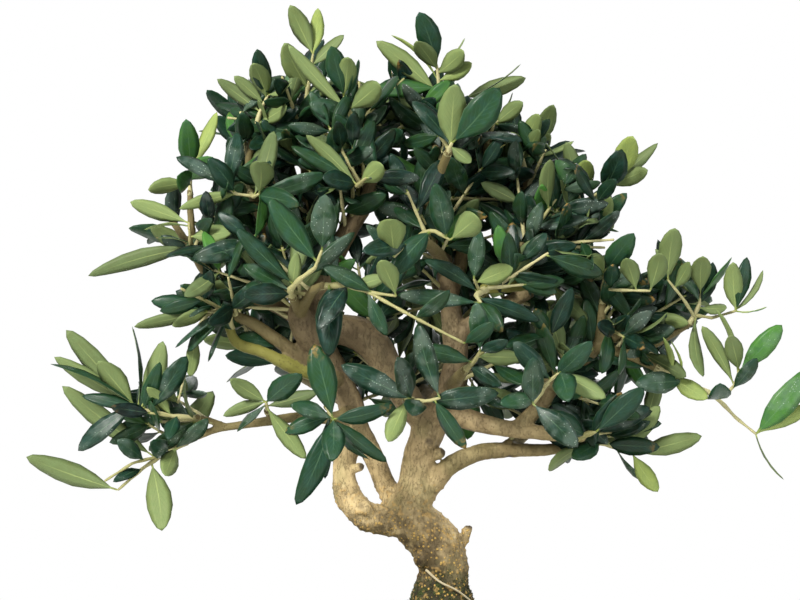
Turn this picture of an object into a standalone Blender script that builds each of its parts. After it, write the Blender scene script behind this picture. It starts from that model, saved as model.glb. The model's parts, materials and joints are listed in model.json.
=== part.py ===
"""An olive bonsai with its pot: trunk, limbs, leafy shoots, moss, soil, drain screens and a stoneware pot.

Metres, +Z up, +X to the right of the front and +Y to the back. The origin is on the surface that
the pot stands on, below the middle of the crown.
"""
import math

import bmesh
import bpy
from mathutils import Vector
from mathutils.bvhtree import BVHTree

# The tree is drawn on a front sheet: columns run to the right and rows run down, in units of SHEET.
# A depth is in millimetres behind the sheet's plane, which stands at SHEET_Y. The sheet is seen from
# an eye point, so a point behind the plane is moved away from the eye's line, and one in front of it
# is moved in.
SHEET = 0.00058
MM = 0.001
SHEET_MIDDLE = 420
SHEET_Y = -0.009
SOIL_ROW = 603
SOIL_HEIGHT = 0.068
EYE_DISTANCE = 1.5
EYE_X = -0.0116
EYE_Z = 0.2437

GAP = 0.0003

POT_LENGTH = 0.270
POT_DEPTH = 0.196
POT_HEIGHT = 0.057
POT_FOOT_HEIGHT = 0.007
POT_SQUARENESS = 5
POT_SIDES = 24
POT_TAPER = 0.012
POT_WALL = 0.009
POT_FLOOR = 0.008
POT_EDGE = 0.002
LIP_HEIGHT = 0.011
LIP_OUT = 0.005
FOOT_SIZE = (0.046, 0.030)
FOOT_FROM_MIDDLE = (0.088, 0.058)
DRAIN_RADIUS = 0.010
FOOT_LEAN = 0.12
FOOT_SUNK = 0.001
DRAIN_FROM_MIDDLE = 0.070

SCREEN_SIZE = 0.030
SCREEN_THICK = 0.0012
SCREEN_BARS = 3
SCREEN_BAR = 0.0022

SOIL_RIM_DROP = 0.006
SOIL_HOLE_GAP = 0.0013
MOUND_HEIGHT = 0.0645
MOUND_POWER = 1.5
MOSS_GAP = 0.0008
MOSS_HEIGHTS = (0.0030, 0.0042, 0.0036, 0.0030, 0.0008)
MOUND_SHARES = (0.0, 0.12, 0.42, 0.72, 0.93)

LEAF_THICK = 0.0008
LEAF_RATIO = 2.75
LEAF_LENGTHS = (0.024, 0.042)
LEAF_ARCH = 0.05
LEAF_SUNK = 0.0005
LEAF_OUTLINE = ((0.28, 0.74), (0.56, 1.0), (0.83, 0.68))
SMALL_LEAF_OUTLINE = ((0.34, 0.94), (0.72, 0.9))
SMALL_LEAF_WIDTH = 15.0
LEAF_CLEARANCE = 0.0004
LEAF_FIRST = 0.0032
OWN_CLEAR_FROM = 0.3
RULED_SHARES = (0.2, 0.6, 0.97)
RULED_WIDTHS = (12, 13, 12)
RULED_TIP_LENGTH = 24
RULED_TIP_WIDTH = 8
LEAF_FORWARD = 0.8
DEPTH_TRIES = (0, -5, 5, -10, 10, -15, 15, -21, 21, -27, 27)
TURN_TRIES = (0, 20, -20)
LENGTH_TRIES = (1.0, 0.86, 0.72)
SPREAD_TRIES = (56, 44, 68, 30)
ROLL_TRIES = (0, 25, -25, 50, -50)

TWIG_SIDES = 4
SIDE_TWIG_SIDES = 3
TWIG_TIP_RADIUS = 0.0008
TWIG_START_SHARE = 0.86
SIDE_TWIG_RADIUS = 0.0011

WOOD_SOLVER = "MANIFOLD"
SHOOT_SOLVER = "MANIFOLD"

# Limbs of the tree, each with its points: column, row, depth, and the limb's radius in millimetres.
# A limb starts inside the one that it grows from.
LIMBS = {
    "trunk": [(442, 676, 0, 14.5), (442, 595, 0, 14.5), (443.5, 580, 0, 13.4), (442.5, 563, 0, 14.8),
        (437, 547, 0, 15.4), (424, 531, 0, 14.4), (410, 518, 0, 13.4), (399, 509, 0, 11.5)],
    "left_loop": [(410, 519, 0, 11.5), (388, 521, 0, 9.2), (367, 516, 0, 8.4), (351, 502, 1, 8),
        (344.5, 482, 3, 7.4), (345, 460, 5, 7.2), (350, 438, 6, 7.4), (353, 415, 6, 7.6),
        (346, 392, 5, 7.2), (334, 368, 3, 7.2), (322, 346, 1, 7.6), (312, 322, 0, 7)],
    "middle_limb": [(402, 512, 3, 8), (387, 488, 7, 6.2), (376, 464, 9, 6), (366, 441, 9, 6),
        (355, 418, 7, 6)],
    "centre_limb": [(404, 516, 0, 12), (412, 494, 0, 10.5), (416, 472, -1, 9.4), (421, 449, -1, 9.4),
        (431, 426, 0, 10.2), (443, 406, 4, 9.4), (452, 384, 9, 8.4), (456, 360, 14, 7.6),
        (454, 332, 18, 7), (449, 300, 18, 6.2), (444, 265, 14, 5.4), (436, 230, 6, 4.8),
        (429, 198, -2, 4.2), (434, 165, -4, 3.2), (438, 130, -4, 2.6), (438, 104, -4, 2.1)],
    "arch": [(430, 428, -1, 8), (412, 404, -2, 8.6), (394, 382, -3, 9), (382, 358, -4, 9.4),
        (364, 338, -4, 9.8), (342, 330, -3, 9.4), (318, 332, -1, 7.6)],
    "rising_limb": [(314, 334, 0, 7.4), (318, 302, 4, 7), (328, 268, 8, 6.4), (346, 234, 9, 5.8),
        (364, 206, 8, 5.2), (372, 172, 4, 4.2), (364, 144, -4, 3.2), (355, 126, -12, 2.4)],
    "stump": [(320, 348, -3, 7), (307, 334, -8, 7.8), (300, 317, -10, 7.2), (297, 304, -11, 5)],
    "left_branch": [(326, 368, 2, 5.8), (302, 357, -3, 4.8), (277, 340, -6, 4), (252, 323, -8, 3.5),
        (234, 316, -9, 3), (216, 310, -9, 2.4)],
    "left_lower_branch": [(326, 374, 2, 5.2), (302, 371, -4, 4.3), (284, 363, -8, 3.9),
        (262, 352, -10, 3.5), (237, 343, -12, 3.2), (228, 324, -12, 2.6)],
    "low_left_branch": [(352, 410, 2, 4.6), (335, 418, -4, 3.8), (301, 417, -8, 3.2),
        (270, 421, -10, 2.8), (242, 425, -10, 2.5), (214, 430, -10, 2.2), (182, 444, -11, 1.9)],
    "low_left_fork": [(226, 427, -10, 2.2), (208, 420, -14, 1.9), (196, 417, -21, 1.7)],
    "low_left_spur": [(272, 420, -10, 2.4), (266, 410, -20, 1.8)],
    "right_branch": [(446, 412, 0, 7), (470, 420, -6, 6), (498, 427, -10, 5.2), (540, 433, -14, 4.4),
        (584, 437, -22, 3.2)],
    "right_low_branch": [(420, 498, 0, 8), (436, 480, -2, 6.4), (452, 465, -4, 5.8),
        (478, 453, -4, 5.2), (508, 450, -2, 4.5), (543, 450, 2, 3.6), (578, 446, 4, 2.6)],
    "right_rising_branch": [(516, 430, -11, 4.8), (543, 402, -8, 4.4), (556, 383, -6, 4.2),
        (578, 364, -6, 4), (600, 345, -8, 3.9), (622, 331, -10, 3.3), (644, 322, -12, 3)],
    "right_upright": [(598, 347, -8, 3.2), (601, 320, -6, 2.7), (603, 298, -6, 2.1)],
    "right_reach": [(600, 347, -8, 3.2), (630, 356, -12, 2.8), (660, 370, -14, 2.2)],
    "right_far_branch": [(626, 354, -12, 2.4), (648, 348, -12, 2.2), (672, 335, -12, 2),
        (694, 321, -12, 1.8)],
    "shoulder_branch": [(454, 338, 17, 6), (482, 318, 16, 5.2), (514, 300, 12, 4.6),
        (545, 278, 8, 4.1), (566, 248, 4, 3.5), (581, 218, 0, 2.6)],
    "olive_branch": [(548, 280, 7, 4), (528, 284, -8, 3.9), (502, 287, -30, 3.5), (482, 289, -42, 2.8)],
    "shoulder_upright": [(543, 280, 9, 3.8), (536, 240, 12, 3), (529, 200, 12, 2.5), (524, 166, 10, 2)],
    "crest_stem": [(449, 300, 18, 5), (462, 255, 24, 4.2), (474, 205, 22, 3.5), (483, 165, 16, 2.9),
        (489, 138, 12, 2.2)],
    "cut_stem": [(430, 205, -2, 3.8), (434, 188, -20, 3.2), (449, 150, -40, 2.4)],
    "left_upper_branch": [(313, 326, 0, 6), (290, 312, -2, 5), (262, 300, -4, 4.2),
        (232, 292, -4, 3.6), (212, 280, -4, 3), (196, 256, -4, 2.6), (191, 220, -6, 2.2),
        (190, 190, -8, 1.8)],
    "left_stub": [(204, 268, -3, 2.6), (187, 243, -2, 2.4), (171, 219, -1, 2.1)],
    "left_spur": [(196, 256, -4, 2.2), (193, 251, -13, 1.8)],
    "left_rising_branch": [(314, 316, 2, 5.2), (290, 275, 6, 4.6), (268, 232, 5, 3.8),
        (252, 190, 1, 3.1), (249, 158, -2, 2.5), (255, 130, -4, 2)],
    "left_inner_spur": [(253, 193, 1, 2.8), (250, 194, -22, 2)],
    "apex_stem": [(330, 264, 8, 5), (318, 225, 9, 4.2), (308, 185, 7, 3.4), (304, 150, 4, 2.8),
        (306, 116, 0, 2.1)],
    "high_spur": [(372, 176, 4, 3.2), (364, 180, -20, 2.4), (359, 184, -32, 1.9)],
    "front_left_limb": [(338, 376, 2, 4.6), (331, 392, -25, 3.2), (327, 408, -48, 2.2)],
    "front_low_limb": [(414, 406, -4, 5), (408, 401, -35, 3.4), (406, 398, -58, 2.3)],
    "front_mid_limb": [(450, 390, 6, 5), (458, 378, -25, 3.8), (466, 369, -52, 2.4)],
    "front_stump_twig": [(299, 310, -12, 3.4), (292, 297, -48, 2.3)],
    "front_twig": [(300, 314, -14, 3.6), (312, 292, -42, 2.9), (324, 285, -58, 2.2)],
    "front_high_limb": [(444, 265, 12, 4.6), (438, 254, -12, 3.8), (428, 244, -42, 3),
        (420, 239, -60, 2.2)],
    "front_right_limb": [(556, 385, -6, 3.8), (552, 384, -32, 3), (545, 382, -55, 2.2)],
    "front_shoulder_limb": [(536, 240, 12, 3), (528, 246, -12, 2.6), (520, 245, -38, 2)],
    "back_centre_limb": [(454, 338, 16, 6), (452, 322, 42, 4.8), (442, 300, 66, 3.8),
        (434, 282, 77, 2.4)],
    "back_left_limb": [(326, 290, 6, 6), (306, 278, 32, 4.8), (284, 264, 56, 3.8), (266, 250, 72, 2.4)],
    "back_right_limb": [(482, 318, 16, 4.8), (508, 302, 40, 4), (534, 286, 61, 3.2),
        (552, 270, 74, 2.2)],
    "back_top_limb": [(372, 178, 5, 4), (384, 158, 30, 3.2), (390, 136, 52, 2.2)],
    "back_low_limb": [(440, 408, 4, 6), (430, 396, 34, 4.6), (418, 386, 60, 3.6), (408, 376, 74, 2.4)],
    "back_low_left_limb": [(350, 402, 6, 5), (326, 390, 30, 4), (304, 378, 54, 3.2),
        (284, 368, 69, 2.2)],
    "back_low_right_limb": [(510, 449, 0, 4), (528, 432, 26, 3.2), (552, 414, 50, 2.2)],
    "back_left_high_limb": [(311, 200, 8, 3.4), (276, 180, 30, 3), (256, 162, 50, 2.2)],
    "back_right_high_limb": [(470, 222, 22, 3.6), (496, 200, 42, 3), (516, 182, 60, 2.2)],
    "back_far_right_limb": [(600, 345, -8, 3.4), (622, 330, 14, 2.8), (640, 312, 34, 2)],
    "back_far_left_limb": [(232, 292, -4, 3.4), (216, 280, 18, 2.8), (200, 264, 38, 2)],
}

# Leafy shoots that the front shows. Each has the limb that it grows from, its twigs and its leaves.
# The first twig runs on from the limb's tip: columns, rows and depths. Each further twig starts with
# the share of the first one at which it forks. A leaf has its twig's number, the share of the twig at
# its root, the column and row of its tip, its turn in degrees about its own length (0 shows its upper
# side to the front), its width in millimetres and, on a few, its tip's depth behind its root.
SEEN_SHOOTS = {
    "apex_left": ("apex_stem", [
        [(307, 92, -2), (313, 54, -4)]], [
        (0, 1, 290, 5, 165, 12), (0, 1, 318, 8, 175, 9), (0, 0.8, 344, 35, 150, 9),
        (0, 0.45, 284, 43, 192, 14), (0, 0.5, 264, 120, 28, 11), (0, 0.1, 275, 142, 40, 11),
        (0, 0.35, 330, 84, 170, 9)]),
    "upper_left": ("left_rising_branch", [
        [(260, 112, -6), (268, 95, -8)]], [
        (0, 1, 257, 49, 15, 12), (0, 0.9, 253, 63, 172, 12), (0, 0.5, 217, 79, 165, 9),
        (0, 0.75, 234, 76, 165, 8.5), (0, 1, 292, 83, 125, 9), (0, 0.8, 302, 62, 95, 7),
        (0, 0.1, 287, 106, 152, 11)]),
    "crown_centre": ("rising_limb", [
        [(350, 113, -21), (344, 96, -26)]], [
        (0, 1, 331, 46, 10, 13), (0, 1, 348, 57, 176, 11), (0, 0.9, 359, 59, 70, 10),
        (0, 0.5, 288, 45, 170, 9), (0, 0.6, 380, 84, 174, 14), (0, 0.2, 309, 103, 12, 13),
        (0, 0, 374, 170, 0, 13)]),
    "apex_right": ("centre_limb", [
        [(439, 88, -6), (437, 66, -8)]], [
        (0, 1, 419, 12, 8, 14.5), (0, 0.9, 416, 41, 150, 12), (0, 0.8, 464, 51, 176, 12),
        (0, 0.6, 472, 63, 168, 9.5), (0, 0.9, 465, 38, 100, 8), (0, 0.2, 376, 41, 165, 12),
        (0, 0.6, 391, 35, 100, 8), (0, 0.4, 370, 92, 18, 12)]),
    "cut_stem_leaves": ("cut_stem", [
        [(452, 143, -45)]], [
        (0, 1, 500, 88, 10, 19), (0, 0.1, 412, 101, 25, 11), (0, 0, 471, 163, 168, 8),
        (0, 0.5, 455, 84, 182, 17)]),
    "crest": ("crest_stem", [
        [(494, 124, 10)],
        [(0.05, 0, 0), (478, 118, 6), (464, 98, 4)]], [
        (0, 0.9, 523, 102, 174, 10), (1, 1, 526, 78, 172, 11), (1, 1, 521, 64, 96, 8.5),
        (0, 1, 513, 92, 95, 8), (0, 0.4, 468, 150, 30, 10)]),
    "shoulder_left": ("shoulder_upright", [
        [(520, 148, 6), (524, 136, 4)]], [
        (0, 0.5, 539, 114, 160, 12), (0, 0.7, 550, 119, 30, 10), (0, 0.2, 511, 132, 172, 9),
        (0, 0, 540, 130, 150, 10), (0, 0.3, 574, 141, 118, 9), (0, 0.1, 488, 172, 25, 11),
        (0, 1, 500, 148, 88, 7)]),
    "shoulder_right": ("shoulder_branch", [
        [(580, 204, -2), (578, 193, -4)],
        [(0.6, 0, 0), (596, 195, -6), (611, 184, -9)],
        [(0.45, 0, 0), (592, 212, -4), (594, 226, -6)]], [
        (0, 1, 566, 142, 158, 11), (0, 0.9, 587, 160, 170, 12), (0, 1, 545, 142, 82, 8),
        (0, 0.8, 555, 160, 20, 12), (0, 0.5, 598, 214, 20, 8), (1, 0.7, 622, 149, 8, 15),
        (1, 1, 633, 136, 178, 14), (1, 1, 658, 143, 150, 8), (1, 0.9, 648, 170, 174, 10.5),
        (2, 1, 610, 196, 178, 13), (2, 1, 627, 193, 12, 10.5), (0, 0.1, 619, 232, 70, 8),
        (2, 0.5, 555, 235, 165, 14)]),
    "right_inner": ("right_upright", [
        [(604, 282, -14), (606, 270, -28)],
        [(0.3, 0, 0), (612, 290, -28), (650, 291, -32)]], [
        (0, 1, 634, 233, 8, 14), (0, 0.7, 562, 250, 18, 11), (0, 0.8, 588, 256, 165, 12.5),
        (1, 0.3, 613, 264, 8, 10), (1, 0.3, 638, 271, 12, 9.5), (1, 0.8, 626, 258, 160, 11),
        (1, 1, 661, 253, 170, 12), (0, 0.5, 632, 318, 28, 10)]),
    "right_far": ("right_far_branch", [
        [(699, 306, -13), (701, 294, -14)],
        [(0.2, 0, 0), (712, 318, -14), (736, 311, -20)],
        [(0.1, 0, 0), (684, 300, -20), (668, 280, -22)]], [
        (0, 1, 703, 256, 178, 12.5), (0, 0.8, 655, 249, 166, 7.5), (0, 0.7, 677, 257, 28, 10.5),
        (0, 0.9, 732, 257, 62, 9), (0, 0.6, 713, 262, 28, 10), (0, 0.5, 727, 308, 150, 8),
        (1, 1, 733, 262, 178, 11.5), (1, 1, 747, 257, 18, 10), (1, 0.9, 763, 270, 120, 7),
        (1, 1, 767, 307, 90, 7), (2, 1, 675, 228, 178, 13.5), (2, 0.8, 690, 262, 150, 9),
        (0, 0.1, 703, 377, 162, 8.5)]),
    "right_droop": ("right_reach", [
        [(683, 381, -15), (708, 392, -20), (722, 403, -20), (736, 418, -20), (756, 434, -20)],
        [(0.55, 0, 0), (733, 388, -22), (739, 371, -24)]], [
        (0, 1, 813, 367, 8, 15.5), (0, 1, 814, 405, 170, 9.5), (0, 1, 784, 480, 96, 6.5),
        (0, 0.55, 720, 383, 0, 14, -26), (0, 0.22, 635, 384, 12, 13.5), (0, 0.1, 708, 399, 168, 11),
        (1, 0.6, 702, 326, 165, 9), (1, 1, 782, 325, 12, 13.5), (1, 1, 730, 335, 178, 11),
        (1, 0.9, 716, 309, 118, 7), (1, 0.5, 757, 358, 20, 10), (0, 0.12, 663, 337, 120, 7),
        (0, 0.2, 671, 341, 95, 7)]),
    "right_low": ("right_low_branch", [
        [(602, 443, 0), (632, 453, -4)]], [
        (0, 0.6, 566, 405, 8, 14), (0, 0.2, 640, 398, 8, 14), (0, 0.5, 660, 447, 12, 12),
        (0, 1, 702, 436, 174, 12), (0, 1, 658, 492, 178, 10.5), (0, 0.7, 651, 485, 62, 7),
        (0, 0.4, 572, 459, 25, 12), (0, 0.8, 660, 406, 172, 12), (0, 0, 548, 470, 150, 10)]),
    "right_low_front": ("right_branch", [
        [(596, 432, -35)]], [
        (0, 0, 538, 413, 5, 14.5), (0, 1, 644, 388, 10, 14), (0, 0.6, 622, 392, 20, 12),
        (0, 0.3, 552, 404, 25, 11)]),
    "front_right": ("front_right_limb", [
        [(538, 398, -68), (533, 404, -75)],
        [(0.2, 0, 0), (560, 372, -72)]], [
        (0, 1, 533, 357, 4, 12.5), (0, 1, 578, 447, 6, 13.5), (0, 0.6, 500, 404, 28, 11),
        (1, 1, 569, 402, 10, 14), (1, 0.8, 592, 341, 14, 12.5), (1, 0.5, 513, 342, 10, 12),
        (1, 1, 606, 398, 162, 11.5)]),
    "front_low": ("front_low_limb", [
        [(416, 401, -75), (428, 401, -82), (440, 398, -85)]], [
        (0, 0.35, 341, 365, -14, 14), (0, 0.75, 499, 393, 18, 14), (0, 1, 418, 323, -18, 13),
        (0, 0.9, 466, 449, 28, 11), (0, 0.6, 412, 416, 16, 13), (0, 0.3, 397, 357, 28, 14),
        (0, 0.1, 388, 442, 178, 11)]),
    "front_mid": ("front_mid_limb", [
        [(475, 361, -68), (480, 351, -75)]], [
        (0, 0.5, 412, 349, 18, 10.5), (0, 1, 476, 302, 6, 11.5), (0, 0.8, 526, 358, 168, 9.5),
        (0, 0.3, 502, 386, 24, 10), (0, 1, 508, 340, 30, 9)]),
    "front_rosette": ("front_left_limb", [
        [(333, 419, -68)]], [
        (0, 1, 314, 344, 0, 16), (0, 1, 393, 405, 24, 11), (0, 1, 290, 405, 20, 10),
        (0, 0.8, 285, 433, 10, 10), (0, 0.9, 296, 505, -8, 14), (0, 1, 332, 462, 0, 13.5, -22),
        (0, 0.9, 387, 462, 28, 10), (0, 0.7, 369, 459, 58, 9), (0, 0.5, 325, 479, 10, 8)]),
    "front_stump_leaves": ("front_stump_twig", [
        [(290, 290, -55), (300, 279, -65), (315, 268, -72), (322, 250, -78)]], [
        (0, 1, 325, 194, 4, 14.5), (0, 0.82, 269, 198, 10, 14.5), (0, 0.3, 236, 228, 14, 11),
        (0, 0.15, 243, 265, 28, 10.5), (0, 0.1, 297, 252, 178, 8), (0, 0, 242, 295, 2, 13),
        (0, 0.5, 355, 232, 30, 10)]),
    "front_twig_leaves": ("front_twig", [
        [(346, 285, -65), (372, 293, -70), (396, 296, -72)],
        [(0.62, 0, 0), (406, 313, -75), (438, 330, -78), (464, 343, -78)]], [
        (0, 0.2, 328, 223, 48, 8), (0, 1, 381, 260, 168, 12), (0, 0.4, 386, 277, 178, 8),
        (0, 0.7, 322, 266, 18, 10), (1, 0, 387, 336, 20, 9), (0, 0, 329, 357, 4, 15.5),
        (0, 0.35, 318, 330, 12, 13), (1, 0.5, 450, 290, 30, 10), (1, 1, 494, 322, 24, 10)]),
    "front_high": ("front_high_limb", [
        [(419, 236, -64), (433, 230, -71), (450, 240, -75)],
        [(0.25, 0, 0), (406, 245, -72), (394, 257, -78)]], [
        (0, 0.5, 390, 277, 8, 13.5), (1, 1, 390, 219, 178, 16.5), (1, 1, 366, 225, 38, 8.5),
        (0, 0.9, 435, 183, 4, 13.5), (0, 1, 478, 217, 178, 15), (1, 0.5, 362, 252, 20, 12)]),
    "olive_stub_leaves": ("olive_branch", [
        [(476, 296, -52), (481, 303, -60)],
        [(0.2, 0, 0), (474, 279, -55)]], [
        (0, 1, 397, 295, 18, 10.5), (0, 0.6, 540, 321, 18, 10), (0, 0.3, 424, 260, 28, 10),
        (1, 1, 480, 230, 8, 10), (1, 0.7, 513, 268, 174, 11.5), (0, 0.9, 503, 332, 24, 11)]),
    "high_front": ("high_spur", [
        [(357, 186, -42), (366, 178, -52)]], [
        (0, 0.2, 291, 146, 28, 10.5), (0, 0.4, 306, 135, 160, 9), (0, 0.6, 383, 165, 174, 12),
        (0, 1, 420, 178, 30, 11), (0, 0, 322, 178, 24, 13)]),
    "left_inner": ("left_inner_spur", [
        [(254, 197, -32), (259, 194, -40)],
        [(0.4, 0, 0), (236, 194, -32), (224, 184, -35)]], [
        (0, 1, 260, 161, 178, 14.5), (0, 0.5, 274, 131, 170, 11.5), (1, 0.9, 238, 132, 12, 10.5),
        (1, 1, 176, 157, 26, 10), (1, 0.5, 179, 209, 165, 8), (0, 0.9, 326, 174, 28, 12.5),
        (1, 0.6, 208, 158, 14, 12), (0, 0.8, 300, 205, 20, 14)]),
    "left_high": ("left_upper_branch", [
        [(190, 168, -9)]], [
        (0, 1, 186, 119, 14, 13), (0, 0.9, 217, 112, 150, 9.5), (0, 0.2, 177, 176, 8, 14),
        (0, 0.4, 213, 157, 12, 13), (0, 0, 148, 190, 160, 10)]),
    "left_middle": ("left_spur", [
        [(190, 240, -22), (189, 223, -25)]], [
        (0, 0, 88, 276, 164, 11, 6), (0, 1, 130, 202, 168, 10.5), (0, 0.9, 144, 230, 102, 7),
        (0, 0.6, 232, 232, 165, 11.5), (0, 0.3, 155, 238, 95, 8)]),
    "left_low": ("left_branch", [
        [(208, 312, -13)],
        [(0.3, 0, 0), (203, 320, -14), (193, 336, -14), (186, 370, -14), (178, 403, -14)]], [
        (0, 0.9, 151, 301, 8, 11), (0, 1, 134, 327, 160, 8.5), (0, 0.5, 172, 326, 160, 9),
        (0, 0.3, 180, 285, 16, 11), (1, 0.3, 190, 377, 150, 9.5), (1, 0.9, 207, 393, 50, 8.5),
        (1, 1, 158, 390, 165, 8)]),
    "left_silver": ("left_lower_branch", [
        [(230, 309, -22)]], [
        (0, 1, 175, 348, 62, 9), (0, 0.9, 188, 352, 30, 9.5), (0, 0.6, 208, 362, 60, 7),
        (0, 1, 262, 282, 18, 12)]),
    "low_left_tip": ("low_left_branch", [
        [(161, 456, -12), (143, 468, -13), (118, 490, -14)],
        [(0.3, 0, 0), (133, 463, -20), (105, 481, -20)]], [
        (0, 1, 26, 457, 172, 14), (0, 0.45, 162, 531, 180, 15.5), (0, 0.05, 213, 391, 165, 14.5, 16),
        (0, 0.1, 208, 418, 30, 10), (1, 0.3, 117, 440, 18, 10), (0, 0.2, 150, 442, 12, 12),
        (1, 0.1, 62, 386, 172, 13), (0, 0.6, 113, 482, 25, 7), (0, 0, 165, 476, 160, 12)]),
    "low_left_cluster": ("low_left_fork", [
        [(172, 416, -25), (150, 411, -28), (135, 406, -29)]], [
        (0, 1, 66, 330, 174, 13), (0, 1, 54, 357, 170, 10), (0, 1, 98, 361, 165, 14, -12),
        (0, 1, 50, 364, 70, 8), (0, 0.95, 132, 326, 82, 8.5), (0, 0.9, 163, 341, 168, 13),
        (0, 0.75, 187, 356, 14, 13), (0, 0.85, 160, 362, 24, 10), (0, 1, 78, 451, 18, 12),
        (0, 0.9, 82, 396, 25, 8.5), (0, 0.3, 168, 440, 8, 9), (0, 0.4, 147, 387, 170, 8)]),
    "low_left_inner": ("low_left_spur", [
        [(266, 402, -26)]], [
        (0, 1, 230, 379, 176, 10), (0, 1, 223, 416, 165, 8), (0, 0.6, 237, 432, 60, 9),
        (0, 0.9, 302, 374, 8, 13.5), (0, 0, 306, 459, 172, 10.5), (0, 0.3, 318, 392, 168, 9)]),
}

# Leafy shoots at the back, with leaves set by rule: the limb, the twig's points, and a first roll.
RULED_SHOOTS = {
    "back_centre": ("back_centre_limb", [(432, 268, 87), (430, 240, 95)], 20),
    "back_left": ("back_left_limb", [(254, 238, 82), (240, 214, 87)], 60),
    "back_right": ("back_right_limb", [(562, 256, 83), (574, 232, 89)], 0),
    "back_top": ("back_top_limb", [(394, 116, 63), (396, 92, 67)], 40),
    "back_low": ("back_low_limb", [(402, 366, 83), (392, 348, 90)], 10),
    "back_low_left": ("back_low_left_limb", [(270, 360, 77), (252, 348, 84)], 30),
    "back_low_right": ("back_low_right_limb", [(566, 404, 63), (584, 392, 70)], 70),
    "back_left_high": ("back_left_high_limb", [(246, 146, 60), (240, 124, 64)], 15),
    "back_right_high": ("back_right_high_limb", [(528, 168, 67), (536, 146, 72)], 50),
    "back_far_right": ("back_far_right_limb", [(654, 302, 46), (668, 290, 54)], 35),
    "back_far_left": ("back_far_left_limb", [(188, 250, 48), (176, 232, 56)], 80),
}

# Short cut branches and knots on the trunk: column, row, depth, then the end, and the radius.
STUBS = {
    "trunk_stub": ((462, 545, -2), (469, 527, -3), 2.4),
    "loop_knot": ((366, 510, -6), (362, 507, -9), 4.6),
    "left_knot": ((352, 470, 0), (362, 466, -7), 2.6),
    "centre_knot": ((428, 443, -6), (429, 442, -11), 4.0),
    "low_knot": ((432, 456, -5), (442, 452, -9), 3.2),
    "foot_knot": ((424, 560, -8), (419, 562, -12), 4.2),
    "right_knot": ((508, 440, -2), (509, 456, -3), 2.0),
    "branch_knot": ((592, 354, -9), (590, 345, -12), 2.4),
}

BARK = (0.36, 0.27, 0.17)
SHOOT_GREEN = (0.035, 0.110, 0.060)
STONEWARE = (0.115, 0.062, 0.040)
SOIL_BROWN = (0.045, 0.032, 0.022)
MOSS_GREEN = (0.060, 0.105, 0.020)
SCREEN_BLACK = (0.02, 0.02, 0.02)


def clear_scene():
    for item in list(bpy.data.objects):
        bpy.data.objects.remove(item, do_unlink=True)


def on_sheet(column, row, depth):
    """The place in space of a point that the front view shows at a column and a row."""
    x = (column - SHEET_MIDDLE) * SHEET
    z = SOIL_HEIGHT + (SOIL_ROW - row) * SHEET
    spread = 1 + depth * MM / EYE_DISTANCE
    return Vector((EYE_X + (x - EYE_X) * spread, SHEET_Y + depth * MM, EYE_Z + (z - EYE_Z) * spread))


def depth_of(point):
    return (point.y - SHEET_Y) / MM


def finish(name, colour, roughness):
    """A plain finish for one piece."""
    material = bpy.data.materials.new(name)
    material.use_nodes = True
    shader = material.node_tree.nodes["Principled BSDF"]
    shader.inputs["Base Color"].default_value = (*colour, 1)
    shader.inputs["Roughness"].default_value = roughness
    shader.inputs["Metallic"].default_value = 0
    return material


def make_object(name, points, faces, material=None):
    mesh = bpy.data.meshes.new(name)
    mesh.from_pydata([tuple(point) for point in points], [], faces)
    mesh.update()
    item = bpy.data.objects.new(name, mesh)
    bpy.context.scene.collection.objects.link(item)
    if material:
        mesh.materials.append(material)
    return item


def ring_faces(rings, sides, joined=False):
    """Side faces between rings of points, each ring running the same way round."""
    faces = []
    for ring in range(rings if joined else rings - 1):
        here = ring * sides
        there = (ring + 1) % rings * sides
        for side in range(sides):
            after = (side + 1) % sides
            faces.append((here + side, here + after, there + after, there + side))
    return faces


def capped_rings(loops):
    """Points and faces of a closed body through loops of equally many points."""
    sides = len(loops[0])
    points = [point for loop in loops for point in loop]
    faces = ring_faces(len(loops), sides)
    faces.append(tuple(reversed(range(sides))))
    last = (len(loops) - 1) * sides
    faces.append(tuple(range(last, last + sides)))
    return points, faces


def tube(points, radii, sides, first_direction=None):
    """A tapered tube: a ring at each point, square to the path, carried along without twisting."""
    across = None
    loops = []
    for index, (point, radius) in enumerate(zip(points, radii)):
        before = (point - points[index - 1]).normalized() if index else None
        after = (points[index + 1] - point).normalized() if index + 1 < len(points) else None
        along = (before or after) + (after or before)
        if index == 0 and first_direction:
            along = first_direction
        along = along.normalized()
        if across is None:
            across = along.orthogonal()
        across = (across - along * across.dot(along)).normalized()
        other = along.cross(across)
        turns = [2 * math.pi * side / sides for side in range(sides)]
        loops.append([point + radius * (math.cos(turn) * across + math.sin(turn) * other) for turn in turns])
    return capped_rings(loops)


def limb_sides(radius):
    """Thick wood is rounder than thin wood."""
    if radius > 13 * MM:
        return 10
    if radius > 6.5 * MM:
        return 7
    if radius > 4.6 * MM:
        return 5
    return 4


def unite(name, parts, material, solver="EXACT"):
    """One body from the closed parts, by one union on the collection that holds them."""
    first, *others = [make_object(f"{name}_part", *part) for part in parts]
    group = bpy.data.collections.new(f"{name}_parts")
    for item in others:
        group.objects.link(item)
    union = first.modifiers.new("union", "BOOLEAN")
    union.operation = "UNION"
    union.operand_type = "COLLECTION"
    union.collection = group
    union.solver = solver
    graph = bpy.context.evaluated_depsgraph_get()
    mesh = bpy.data.meshes.new_from_object(first.evaluated_get(graph))
    for item in (first, *others):
        bpy.data.objects.remove(item, do_unlink=True)
    bpy.data.collections.remove(group)
    mesh.name = name
    mesh.materials.clear()
    mesh.materials.append(material)
    item = bpy.data.objects.new(name, mesh)
    bpy.context.scene.collection.objects.link(item)
    return item


def limb_end(name):
    """The tip of a limb, the direction in which it ends, and its radius there."""
    before, last = LIMBS[name][-2:]
    end = on_sheet(*last[:3])
    return end, (end - on_sheet(*before[:3])).normalized(), last[3] * MM


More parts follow.
